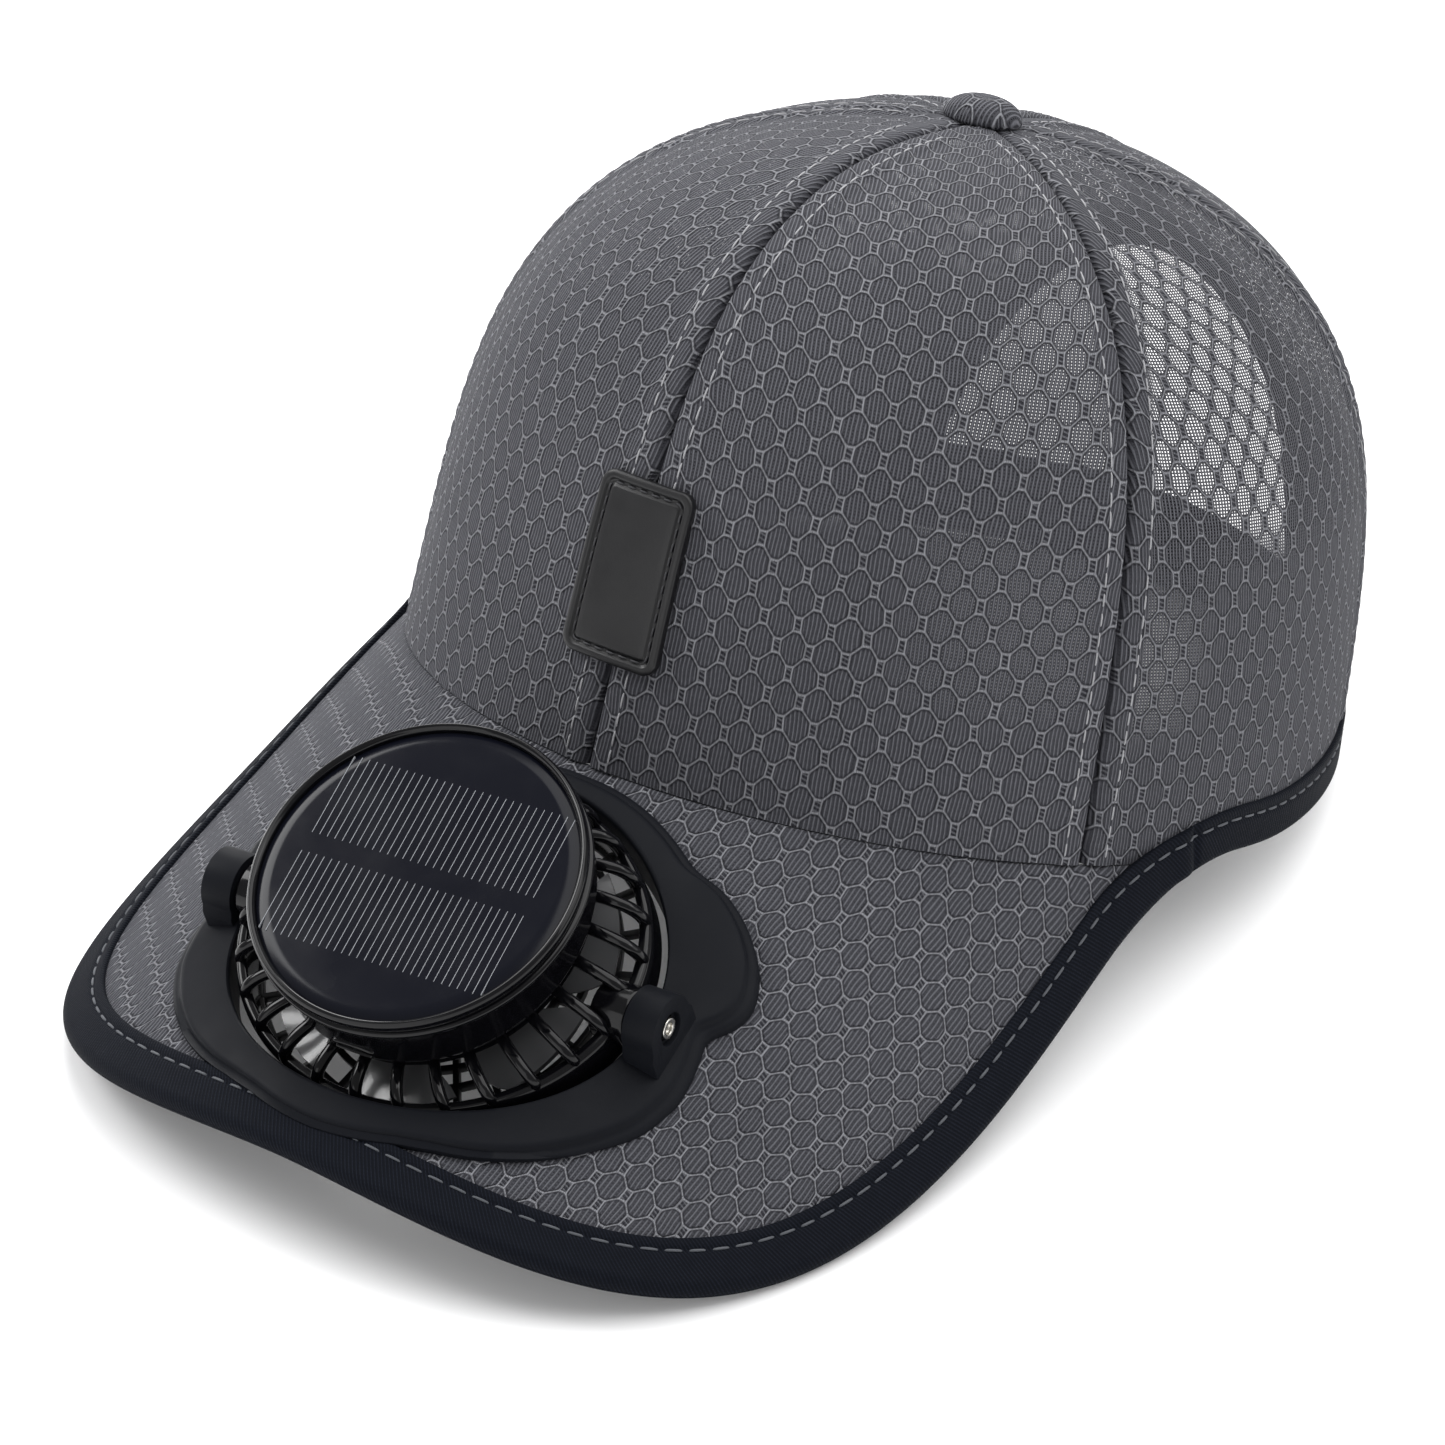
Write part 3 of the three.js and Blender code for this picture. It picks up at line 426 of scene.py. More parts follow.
def bevelled(obj, width, segments=3, angle=35):
    modifier = obj.modifiers.new("edges", "BEVEL")
    modifier.width = width * 0.001
    modifier.segments = segments
    modifier.limit_method = "ANGLE"
    modifier.angle_limit = math.radians(angle)
    modifier.harden_normals = False
    return settle(obj)


def piece(obj, body, slot, material, *nodes):
    obj.data.materials.clear()
    obj.data.materials.append(material)
    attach(obj, body)
    if nodes:
        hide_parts(*nodes)
    return obj


def cylinder_x(name, radius, start, end, place, y=0.0, z=0.0, segments=64, edge=0.4):
    profile = rounded([(0, start), (radius, start), (radius, end), (0, end)], edge, 4)
    turn = Matrix.Translation((0, y, z)) @ Matrix.Rotation(math.pi / 2, 4, "Y")
    return lathe(name, profile, place @ turn, segments)


def stitches(name, path, outs, place, dash=3.3, rest=0.7, radius=0.24, lift=0.1, slant=0.0):
    """A row of thread dashes along a path of points, each dash sunk at its two ends."""
    length = np.concatenate([[0], np.cumsum(np.linalg.norm(np.diff(path, axis=0), axis=1))])
    total = length[-1]
    count = max(int(total / (dash + rest)), 1)
    pitch = total / count
    sides, stations = 8, 7
    verts, faces = [], []

    def at(s):
        p = np.array([np.interp(s, length, path[:, c]) for c in range(3)])
        o = np.array([np.interp(s, length, outs[:, c]) for c in range(3)])
        return p, unit(o)

    for k in range(count):
        jitter = 1 + 0.05 * rng.standard_normal()
        middle = (k + 0.5) * pitch
        half = dash * pitch / (dash + rest) / 2 * jitter
        base = len(verts)
        p0, _ = at(max(middle - 0.4, 0))
        p1, _ = at(min(middle + 0.4, total))
        along = unit(p1 - p0)
        for i in range(stations):
            t = -1 + 2 * i / (stations - 1)
            p, o = at(np.clip(middle + t * half, 0, total))
            across = unit(np.cross(along, o))
            fat = radius * math.sqrt(max(1 - (abs(t) ** 3) * 0.75, 0.05))
            centre = p + o * (lift - 1.5 * radius * abs(t) ** 5) + across * slant * t
            for j in range(sides):
                a = 2 * math.pi * j / sides
                verts.append(centre + across * fat * math.cos(a) + o * fat * 0.8 * math.sin(a))
        faces += [
            (base + i * sides + j, base + i * sides + (j + 1) % sides,
             base + (i + 1) * sides + (j + 1) % sides, base + (i + 1) * sides + j)
            for i in range(stations - 1) for j in range(sides)
        ]
        faces.append(tuple(base + j for j in reversed(range(sides))))
        faces.append(tuple(base + (stations - 1) * sides + j for j in range(sides)))
    return outward(make(name, verts, faces, place))


# Materials

class Shader:
    """A node material with a principled surface."""

    def __init__(self, name, **values):
        self.material = bpy.data.materials.new(name)
        self.material.use_nodes = True
        self.nodes = self.material.node_tree.nodes
        self.links = self.material.node_tree.links
        self.surface = self.nodes["Principled BSDF"]
        self.output = self.nodes["Material Output"]
        for key, value in values.items():
            self.surface.inputs[key.replace("_", " ")].default_value = value

    def put(self, value, socket):
        if isinstance(value, bpy.types.NodeSocket):
            self.links.new(value, socket)
        else:
            socket.default_value = value

    def math(self, operation, a, b=None, c=None):
        node = self.nodes.new("ShaderNodeMath")
        node.operation = operation
        for socket, value in zip(node.inputs, (a, b, c)):
            if value is not None:
                self.put(value, socket)
        return node.outputs[0]

    def uv(self):
        node = self.nodes.new("ShaderNodeUVMap")
        node.uv_map = "cloth_mm"
        parts = self.nodes.new("ShaderNodeSeparateXYZ")
        self.links.new(node.outputs[0], parts.inputs[0])
        return parts.outputs[0], parts.outputs[1]

    def layer(self, name):
        node = self.nodes.new("ShaderNodeAttribute")
        node.attribute_name = name
        return node.outputs["Fac"]

    def place(self):
        return self.nodes.new("ShaderNodeTexCoord").outputs["Object"]

    def combine(self, x, y, z=0.0):
        node = self.nodes.new("ShaderNodeCombineXYZ")
        for socket, value in zip(node.inputs, (x, y, z)):
            self.put(value, socket)
        return node.outputs[0]

    def noise(self, vector, scale, detail=3.0, rough=0.55):
        node = self.nodes.new("ShaderNodeTexNoise")
        self.links.new(vector, node.inputs["Vector"])
        node.inputs["Scale"].default_value = scale
        node.inputs["Detail"].default_value = detail
        node.inputs["Roughness"].default_value = rough
        return node.outputs[0]

    def ramp(self, value, stops):
        node = self.nodes.new("ShaderNodeValToRGB")
        self.links.new(value, node.inputs[0])
        ramp = node.color_ramp
        while len(ramp.elements) < len(stops):
            ramp.elements.new(0.5)
        for element, (at, colour) in zip(ramp.elements, stops):
            element.position = at
            element.color = (*colour, 1) if len(colour) == 3 else colour
        return node.outputs[0]

    def mix(self, share, a, b):
        node = self.nodes.new("ShaderNodeMix")
        node.data_type = "RGBA"
        self.put(share, node.inputs[0])
        for socket, value in ((node.inputs[6], a), (node.inputs[7], b)):
            self.put((*value, 1) if isinstance(value, tuple) else value, socket)
        return node.outputs[2]

    def range(self, value, low, high, new_low=0.0, new_high=1.0, soft=True):
        node = self.nodes.new("ShaderNodeMapRange")
        node.interpolation_type = "SMOOTHSTEP" if soft else "LINEAR"
        self.put(value, node.inputs[0])
        for k, number in enumerate((low, high, new_low, new_high)):
            node.inputs[k + 1].default_value = number
        return node.outputs[0]

    def bump(self, height, distance, strength=1.0):
        node = self.nodes.new("ShaderNodeBump")
        self.put(height, node.inputs["Height"])
        node.inputs["Distance"].default_value = distance
        node.inputs["Strength"].default_value = strength
        self.links.new(node.outputs[0], self.surface.inputs["Normal"])

    def link(self, value, key):
        self.put(value, self.surface.inputs[key])


def knitted(name, shear, pitch, row, thread, light, dark, line, holes, mouth=0.0):
    """Knitted mesh: long hexagons, with ladders of short rungs between neighbours in a row."""
    s = Shader(name, Roughness=0.8, Specular_IOR_Level=0.18)
    u, v0 = s.uv()
    wobble = s.noise(s.combine(u, v0), 0.11, 1.0)
    u = s.math("MULTIPLY_ADD", s.math("SUBTRACT", wobble, 0.5), 1.3, u)
    v = s.math("SUBTRACT", v0, s.math("MULTIPLY", u, shear)) if shear else v0
    ladder, tall = 0.225 * pitch, 0.57 * row
    flank, crest = (pitch - ladder) / 2, row - tall / 2
    nx, ny = crest - tall / 2, flank - ladder / 2
    size = math.hypot(nx, ny)
    nx, ny = nx / size, ny / size
    reach = nx * flank + ny * tall / 2

    def cell(du, dv):
        x = s.math("ABSOLUTE", s.math("WRAP", s.math("ADD", u, du), pitch / 2, -pitch / 2))
        y = s.math("ABSOLUTE", s.math("WRAP", s.math("ADD", v, dv), row, -row))
        side = s.math("DIVIDE", x, flank)
        slant = s.math("ADD", s.math("MULTIPLY", x, nx / reach), s.math("MULTIPLY", y, ny / reach))
        top = s.math("DIVIDE", y, crest)
        return s.math("SMOOTH_MAX", s.math("SMOOTH_MAX", side, slant, 0.14), top, 0.14)

    near = s.math("MINIMUM", cell(0.0, 0.0), cell(pitch / 2, row))
    off_line = s.math("ABSOLUTE", s.math("SUBTRACT", near, 1.01))
    # The raised cell outline is painted lighter as a painted highlight, and a band of painted shadow lies
    # beside it.
    edge = s.range(off_line, 0.035, 0.13, 1.0, 0.0)
    shadow = s.range(off_line, 0.1, 0.27, 1.0, 0.0)
    strip = s.range(near, 1.05, 1.1)
    rung_wave = s.math("SINE", s.math("MULTIPLY", s.math("MULTIPLY_ADD", u, 0.35, v), 2 * math.pi / 0.8))
    rung = s.math("MULTIPLY", s.range(rung_wave, -0.2, 0.6), strip)
    wave = s.math("COSINE", s.math("MULTIPLY", u, 2 * math.pi / thread))
    beads = s.math("COSINE", s.math("MULTIPLY", v, 2 * math.pi / (thread * 0.8)))
    threads = s.range(wave, -0.3, 0.9)
    hollow = s.math("MULTIPLY", s.range(wave, mouth - 0.55, mouth - 0.95),
                    s.range(beads, mouth + 0.05, mouth - 0.5))
    inside = s.range(near, 0.78, 0.9, 1.0, 0.0)
    tone = s.noise(s.combine(u, v), 0.9, 3.0)
    fibre = s.noise(s.combine(s.math("MULTIPLY", u, 3.0), v), 2.2, 2.0)
    weave = s.math("MULTIPLY_ADD", s.math("MULTIPLY", threads, s.range(fibre, 0.2, 0.8, 0.6, 1.0)), 0.72,
                   0.28)
    base = s.mix(weave, dark, light)
    base = s.mix(s.math("MULTIPLY", strip, 0.75), base, dark)
    # Painted shadow beside each raised outline.
    base = s.mix(s.math("MULTIPLY", shadow, 0.78), base, dark)
    base = s.mix(s.math("MULTIPLY", rung, 0.75), base, light)
    # Painted highlight along each raised outline.
    base = s.mix(s.math("MULTIPLY", edge, 0.9), base, line)
    base = s.mix(s.math("MULTIPLY", s.layer("seam_shadow"), 0.85), base, dark)
    shade = s.mix(s.range(tone, 0.3, 0.7, 0.0, 0.22), (1.0, 1.0, 1.0), (0.45, 0.45, 0.45))
    tint = s.nodes.new("ShaderNodeMix")
    tint.data_type, tint.blend_type = "RGBA", "MULTIPLY"
    tint.inputs[0].default_value = 1.0
    s.links.new(base, tint.inputs[6])
    s.links.new(shade, tint.inputs[7])
    s.link(tint.outputs[2], "Base Color")
    height = s.math("ADD", s.math("MULTIPLY", edge, 1.0), s.math("MULTIPLY", threads, 0.3))
    height = s.math("ADD", height, s.math("MULTIPLY", rung, 0.6))
    height = s.math("SUBTRACT", height, s.math("MULTIPLY", s.math("MULTIPLY", hollow, inside), 0.8))
    s.bump(height, 0.0008)
    # Holes close where the seam allowance backs the cloth, and over the lower crown, which is shut as
    # painted shade.
    open_share = s.math("MULTIPLY", s.math("MULTIPLY", hollow, inside),
                        s.math("SUBTRACT", 1.0, s.layer("seam_backing_and_painted_shade")))
    if holes:
        s.link(s.math("SUBTRACT", 1.0, s.math("MULTIPLY", open_share, holes)), "Alpha")
    return s.material


def twill(name, base, raised, pitch=0.62):
    """Tape with fine slanted ribs."""
    s = Shader(name, Roughness=0.75, Specular_IOR_Level=0.07)
    u, v = s.uv()
    slant = s.math("ADD", s.math("MULTIPLY", u, 0.83), s.math("MULTIPLY", v, 0.56))
    wave = s.math("SINE", s.math("MULTIPLY", slant, 2 * math.pi / pitch))
    cross = s.math("SINE", s.math("MULTIPLY", s.math("SUBTRACT", v, s.math("MULTIPLY", u, 0.3)), 9.0))
    rib = s.math("MULTIPLY", s.range(wave, -0.4, 0.8), s.range(cross, -1.0, 1.0, 0.65, 1.0))
    tone = s.noise(s.combine(u, v), 0.35, 4.0)
    colour = s.mix(s.math("MULTIPLY", rib, s.range(tone, 0.25, 0.75, 0.6, 1.0)), base, raised)
    s.link(colour, "Base Color")
    s.bump(rib, 0.00012)
    return s.material


def moulded(name, colour, roughness, grain=0.0, coat=0.0, spread=0.06, **values):
    """Moulded plastic or rubber: a little uneven in gloss, with an optional fine grain."""
    s = Shader(name, Base_Color=(*colour, 1), **values)
    s.surface.inputs["Coat Weight"].default_value = coat
    s.surface.inputs["Coat Roughness"].default_value = 0.08
    where = s.place()
    s.link(s.range(s.noise(where, 90.0, 4.0), 0.3, 0.7, roughness - spread, roughness + spread), "Roughness")
    if grain:
        s.bump(s.noise(where, 4200.0, 2.0), grain)
    return s.material


# Colours: light yarn; dark yarn, also used for the painted shadow; the painted highlight on the raised
# outlines.
crown_cloth = knitted(
    "crown_cloth", 0.0, 6.0, 4.32, 0.72,
    (0.132, 0.134, 0.151), (0.015, 0.015, 0.021), (0.245, 0.248, 0.27), 0.5,
)
airy_cloth = knitted(
    "airy_cloth", 0.0, 6.0, 4.32, 0.72,
    (0.124, 0.126, 0.142), (0.016, 0.016, 0.022), (0.225, 0.228, 0.25), 0.9, 0.28,
)
visor_cloth = knitted(
    "visor_cloth", 0.346, 6.07, 4.13, 0.85,
    (0.122, 0.125, 0.140), (0.018, 0.018, 0.025), (0.235, 0.238, 0.26), 0.0,
)
tape_cloth = twill("tape_twill", (0.0028, 0.0036, 0.0062), (0.0085, 0.0105, 0.017))
thread_grey = moulded("stitch_thread", (0.055, 0.06, 0.07), 0.6, 0.00003)
thread_pale = moulded("seam_thread", (0.30, 0.30, 0.315), 0.6, 0.00003)
thread_dark = moulded("patch_thread", (0.022, 0.022, 0.026), 0.6, 0.00003)
patch_rubber = moulded("patch_rubber", (0.0045, 0.0045, 0.0055), 0.4, 0.00002, Specular_IOR_Level=0.4)
plate_plastic = moulded("plate_plastic", (0.0072, 0.0079, 0.0103), 0.48, 0.000015, Specular_IOR_Level=0.06)
gloss_plastic = moulded("gloss_plastic", (0.0022, 0.0022, 0.003), 0.11, 0.0, 0.0, 0.04,
                        Specular_IOR_Level=0.26)
dark_plastic = moulded("dark_plastic", (0.006, 0.006, 0.0075), 0.4, 0.00001, Specular_IOR_Level=0.3)
cell_glass = moulded("cell_face", (0.0035, 0.004, 0.0075), 0.16, 0.0, 0.0, 0.03, Specular_IOR_Level=0.16)
cell_line = moulded("cell_line", (0.24, 0.25, 0.27), 0.35, 0.0, 0.0, 0.03)
steel = moulded("screw_steel", (0.62, 0.60, 0.56), 0.24, 0.0, 0.0, 0.05, Metallic=1.0)
motor_can = moulded("motor_steel", (0.36, 0.36, 0.36), 0.34, 0.0, 0.0, 0.05, Metallic=1.0)
smoky = moulded("smoky_blade", (0.085, 0.086, 0.09), 0.24, 0.0, 0.3, 0.04)
smoky.node_tree.nodes["Principled BSDF"].inputs["Alpha"].default_value = 0.93


# Cloth panels: groove at each seam, raised seam allowance, two rows of topstitch

def seam_relief(s):
    groove = -1.1 * np.exp(-(s / 0.5) ** 2)
    allowance = 0.6 * (1 - smooth(s, 4.9, 6.6)) * (1 - np.exp(-(s / 1.3) ** 2))
    row = -0.16 * np.exp(-((s - 4.3) / 0.55) ** 2)
    return groove + allowance + row


def local_radius(angle, rise):
    step = 1e-3
    low = np.clip(rise, 0, 1 - 1e-4)
    return np.linalg.norm(crown_point(angle + step, low) - crown_point(angle - step, low),
                          axis=-1) / (2 * step)


def soft_dents(angle, rise):
    """Slow unevenness of cloth over the crown, in millimetres."""
    return (0.22 * np.sin(3.1 * angle + 5.0 * rise + 0.6) * np.sin(7.3 * rise - 1.9 * angle)
            + 0.12 * np.sin(8.7 * angle - 4.0 * rise) * np.sin(11.0 * rise + 2.0))


ARCH_START = math.pi - ARCH_HALF_ANGLE - HEM / CROWN_BACK


def arch_edge(angle):
    away = np.abs(angle - math.pi) / (math.pi - ARCH_START)
    return np.where(away >= 1, 0, (ARCH_HEIGHT + HEM) * np.sqrt(np.maximum(1 - away ** 2, 0)))


def meridian(angle):
    """Arc length up the crown at one angle, as a table over the rise."""
    rises = np.sin(np.linspace(0, math.pi / 2, 500))
    line = crown_point(np.full_like(rises, angle), rises)
    return rises, np.concatenate([[0], np.cumsum(np.linalg.norm(np.diff(line, axis=0), axis=1))])


def relief_at(angle, rise, start, end):
    radius = local_radius(angle, rise)
    fade = np.clip(radius / 22, 0, 1)
    left, right = (angle - start) * radius, (end - angle) * radius
    relief = seam_relief(np.maximum(left, 0)) * fade + seam_relief(np.maximum(right, 0)) * fade
    return relief + soft_dents(angle, rise) * smooth(np.minimum(left, right), 3, 16)


def add_layer(obj, name, values):
    layer = obj.data.attributes.new(name, "FLOAT", "POINT")
    layer.data.foreach_set("value", np.asarray(values, np.float32).ravel())


def painted_shade_closure(angle, height):
    """Share of the knit's holes that are closed as painted shade: the lower crown is shut to stand for the
    shade inside the cap, except beside the side seam, where the holes stay open.
    """
    turn = np.degrees(angle)
    low = 1 - smooth(height, 50, 62)
    unshaded_patch = smooth(turn, 28, 40) * (1 - smooth(turn, 66, 76)) * smooth(height, 20, 30)
    return low * (1 - 0.65 * unshaded_patch)


def crown_panel(name, start, end, side):
    start, end = math.radians(start), math.radians(end)
    if end > ARCH_START:
        turn = np.linspace(0, math.pi / 2, 56)
        angles = np.concatenate([
            np.linspace(start, ARCH_START, 44)[:-1],
            math.pi - (math.pi - ARCH_START) * np.cos(turn),
        ])
    else:
        angles = np.linspace(start, end, 61)
    near = np.linspace(0, 1, 9)[1:-1] ** 2 * math.radians(4)
    angles = np.unique(np.concatenate([angles, start + near, end - near]))
    low = np.maximum(arch_edge(angles), np.where(angles > VISOR_END_ANGLE, HEM * 0.6, 0.0))
    low_rise = rise_of(angles, low)
    shares = np.linspace(0, 1, 96)
    first = (np.arcsin(np.clip(low_rise, 0, 1) ** (1 / DOME_SQUARENESS)) / (math.pi / 2)) ** (1 / 1.8)
    s = first[:, None] + (0.997 - first[:, None]) * shares[None, :]
    rise = np.sin(math.pi / 2 * s ** 1.8) ** DOME_SQUARENESS
    angle = angles[:, None] + 0 * rise
    out = relief_at(angle, rise, start, end)
    points = crown_point(angle, rise) + crown_out(angle, rise) * out[..., None]
    middle = (start + end) / 2
    table_rise, table_length = meridian(middle)
    u = (angle - middle) * local_radius(middle, rise)
    v = np.interp(rise, table_rise, table_length)
    uv = stack(u + 40 * middle, v)
    points[..., 0] *= side
    obj = sheet(name, points, CAP, uv, flip=side < 0)
    radius = local_radius(angle, rise)
    from_seam = np.minimum(angle - start, end - angle) * radius
    # This layer closes holes where the seam allowance backs the cloth, and over the lower crown as painted
    # shade.
    add_layer(obj, "seam_backing_and_painted_shade", np.maximum(1 - smooth(from_seam, 4.9, 5.6), painted_shade_closure(angle, v)))
    add_layer(obj, "seam_shadow", np.exp(-(from_seam / 0.45) ** 2))
    return piece(obj, "hat", "mesh_cloth", crown_cloth if start == 0 else airy_cloth, name)


def seam_line(angle, offset, low_height, high_rise, count=90):
    """Angles round the crown and rises along a line beside a seam."""
    low = rise_of(angle, low_height)
    s = np.linspace((math.asin(low ** (1 / DOME_SQUARENESS)) / (math.pi / 2)) ** (1 / 1.8), high_rise, count)
    rise = np.sin(math.pi / 2 * s ** 1.8) ** DOME_SQUARENESS
    turn = angle + offset / local_radius(np.full_like(rise, angle), rise)
    return turn, rise


for side, name in ((1, "left"), (-1, "right")):
    crown_panel(f"panel_front_{name}", 0, 60, side)
    crown_panel(f"panel_side_{name}", 60, 120, side)
    crown_panel(f"panel_back_{name}", 120, 180, side)

rows = []
for k, degrees in enumerate((0, 60, 120, 180, 240, 300)):
    seam = math.radians(degrees)
    folded = min(seam, 2 * math.pi - seam)
    low = 1.0 if folded < VISOR_END_ANGLE else (ARCH_HEIGHT + 8 if degrees == 180 else RIM_TAPE_WIDTH + 0.5)
    for way in (-1, 1):
        turn, rise = seam_line(seam, 4.3 * way, low, 0.955)
        out = relief_at(np.full_like(turn, seam) + np.abs(turn - seam), rise, seam, seam + math.radians(60))
        normal = crown_out(turn, rise)
        path = crown_point(turn, rise) + normal * out[:, None]
        rows.append(stitches(f"row_{k}_{way}", path, normal, CAP, 2.9, 0.45, 0.17, 0.13))
piece(join("crown_topstitch", rows), "hat", "mesh_cloth", thread_pale)


# Peak

def visor_sheet():
    inner = [k for k, s in enumerate(EDGE_SHARES) if abs(s) < 0.96]
    grid = []
    across = np.linspace(0, 1, 70)
    for k in inner:
        foot, inward, flat, width = EDGE[k]
        angle = EDGE_SHARES[k] / 0.96 * VISOR_END_ANGLE
        under = 1 - PANEL_WALL * 0.8 / CROWN_FRONT
        root = np.array([CROWN_HALF_WIDTH * math.sin(angle), -CROWN_FRONT * math.cos(angle)]) * under
        edge = foot + inward * max(width - 2.5, HEM * flat)
        grid.append(root + (edge - root) * across[:, None])
    plan = np.array(grid)
    top = on_visor(plan[..., 0], plan[..., 1], 0.0)
    low = on_visor(plan[..., 0], plan[..., 1], -VISOR_WALL)
    rows_, cols = plan.shape[:2]
    bend = 2 * VISOR_ARCH * plan[..., 0]
    girth = 0.5 * plan[..., 0] * np.sqrt(1 + bend ** 2) + np.arcsinh(bend) / (4 * VISOR_ARCH)
    uv = stack(girth, plan[..., 1] * math.sqrt(1 + VISOR_SLOPE ** 2)).reshape(-1, 2)
    count = rows_ * cols
    to_fan = np.array(FAN_IN_CAP.inverted())
    local = top.reshape(-1, 3) @ to_fan[:3, :3].T + to_fan[:3, 3]
    beyond = np.hypot(local[:, 0] / (HOLE_HALF_WIDTH + 2.3),
                      (local[:, 1] - HOLE_BACK) / (HOLE_HALF_LENGTH + 2.3))
    faces = [f for f in grid_faces(rows_, cols) if min(beyond[list(f)]) > 1]
    under = [tuple(count + k for k in reversed(f)) for f in faces]
    rim = [(k, k + cols) for k in (r * cols + cols - 1 for r in range(rows_ - 1))]
    walls = [(a, a + count, b + count, b) for a, b in rim]
    verts = np.concatenate([top.reshape(-1, 3), low.reshape(-1, 3)])
    obj = make("visor", verts, faces + under + walls, CAP, np.concatenate([uv, uv]))
    work = bmesh.new()
    work.from_mesh(obj.data)
    loose = [v for v in work.verts if not v.link_faces]
    bmesh.ops.delete(work, geom=loose, context="VERTS")
    work.to_mesh(obj.data)
    work.free()
    return obj


piece(visor_sheet(), "hat", "mesh_cloth", visor_cloth, "visor")


def tape_outline(width, half, seam=2.3, wall=TAPE_WALL, stand=0.12):
    """Section of a folded tape: distance in from the fold, and height over the middle of the sheet.
    Its two inner edges lie on the cloth, and a stitched channel runs near them."""
    face = half + wall + stand
    upper = []
    for t in np.linspace(0, 1, 12):
        upper.append((0.9 * face * (1 - math.cos(math.pi / 2 * t)), face * math.sin(math.pi / 2 * t)))
    for d in np.linspace(face, width - 0.45, 22):
        upper.append((d, face - 0.32 * math.exp(-((d - (width - seam)) / 0.55) ** 2)))
    upper += [(width - 0.15, face - 0.14), (width, face - 0.42), (width - 0.05, half + 0.02)]
    lower = [(d, -h) for d, h in reversed(upper)]
    return np.array(lower + upper)


def tape(name, sections, lengths, slot, material, nodes):
    """A folded tape through equal sections, with its weave laid along it."""
    grid = np.array(sections)
    girth = np.concatenate([[0], np.cumsum(np.linalg.norm(np.diff(grid[len(grid) // 2], axis=0), axis=1))])
    uv = stack(np.asarray(lengths)[:, None], girth[None, :])
    rows_, cols = grid.shape[:2]
    caps = [tuple(range(cols)), tuple((rows_ - 1) * cols + k for k in reversed(range(cols)))]
    obj = make(name, grid.reshape(-1, 3), grid_faces(rows_, cols, across=True) + caps, CAP,
               uv.reshape(-1, 2))
    work = bmesh.new()
    work.from_mesh(obj.data)
    bmesh.ops.recalc_face_normals(work, faces=work.faces)
    work.to_mesh(obj.data)
    work.free()
    return piece(obj, "hat", slot, material, *nodes)


def path_lengths(points):
    return np.concatenate([[0], np.cumsum(np.linalg.norm(np.diff(points, axis=0), axis=1))])


def visor_edge_section(foot, inward, flat, width):
    """Tape section on the peak's edge, then a point and a direction for each of its two stitch rows."""
    outline = tape_outline(TAPE_WIDTH, VISOR_WALL / 2)
    p = foot + inward * (outline[:, :1] * width / TAPE_WIDTH)
    q = foot + inward * (width - STITCH_FROM_EDGE * flat)
    face = TAPE_WALL - 0.14
    levels = (face, face + 1, -VISOR_WALL - face, -VISOR_WALL - face - 1)
    return np.vstack([on_visor(p[:, 0], p[:, 1], outline[:, 1] - VISOR_WALL / 2),
                      [on_visor(q[0], q[1], level) for level in levels]])


def crown_edge_section(angle):
    """The same on the crown's lower edge."""
    outline = tape_outline(RIM_TAPE_WIDTH, PANEL_WALL / 2)
    face = TAPE_WALL - 0.14
    levels = (face, face + 1, -PANEL_WALL - face, -PANEL_WALL - face - 1)
    around = np.full(len(outline), angle)
    return np.vstack([on_crown(around, outline[:, 0], outline[:, 1] - PANEL_WALL / 2),
                      [on_crown(angle, RIM_TAPE_WIDTH - STITCH_FROM_EDGE, level) for level in levels]])


def clear_of_crown(points, room):
    """Points moved out along the crown's outward direction until they keep this room to its cloth."""
    angle = np.arctan2(points[:, 0] / CROWN_HALF_WIDTH, -points[:, 1] / CROWN_FRONT)
    rim = rim_height(angle)
    rise = (points[:, 2] - rim) / (CROWN_TOP - rim)
    out = crown_out(angle, np.clip(rise, 0, 1))
    short = room - np.sum((points - crown_point(angle, np.clip(rise, 0, 1))) * out, axis=1)
    return points + out * (np.maximum(short, 0) * smooth(rise, -0.01, 0.015))[:, None]


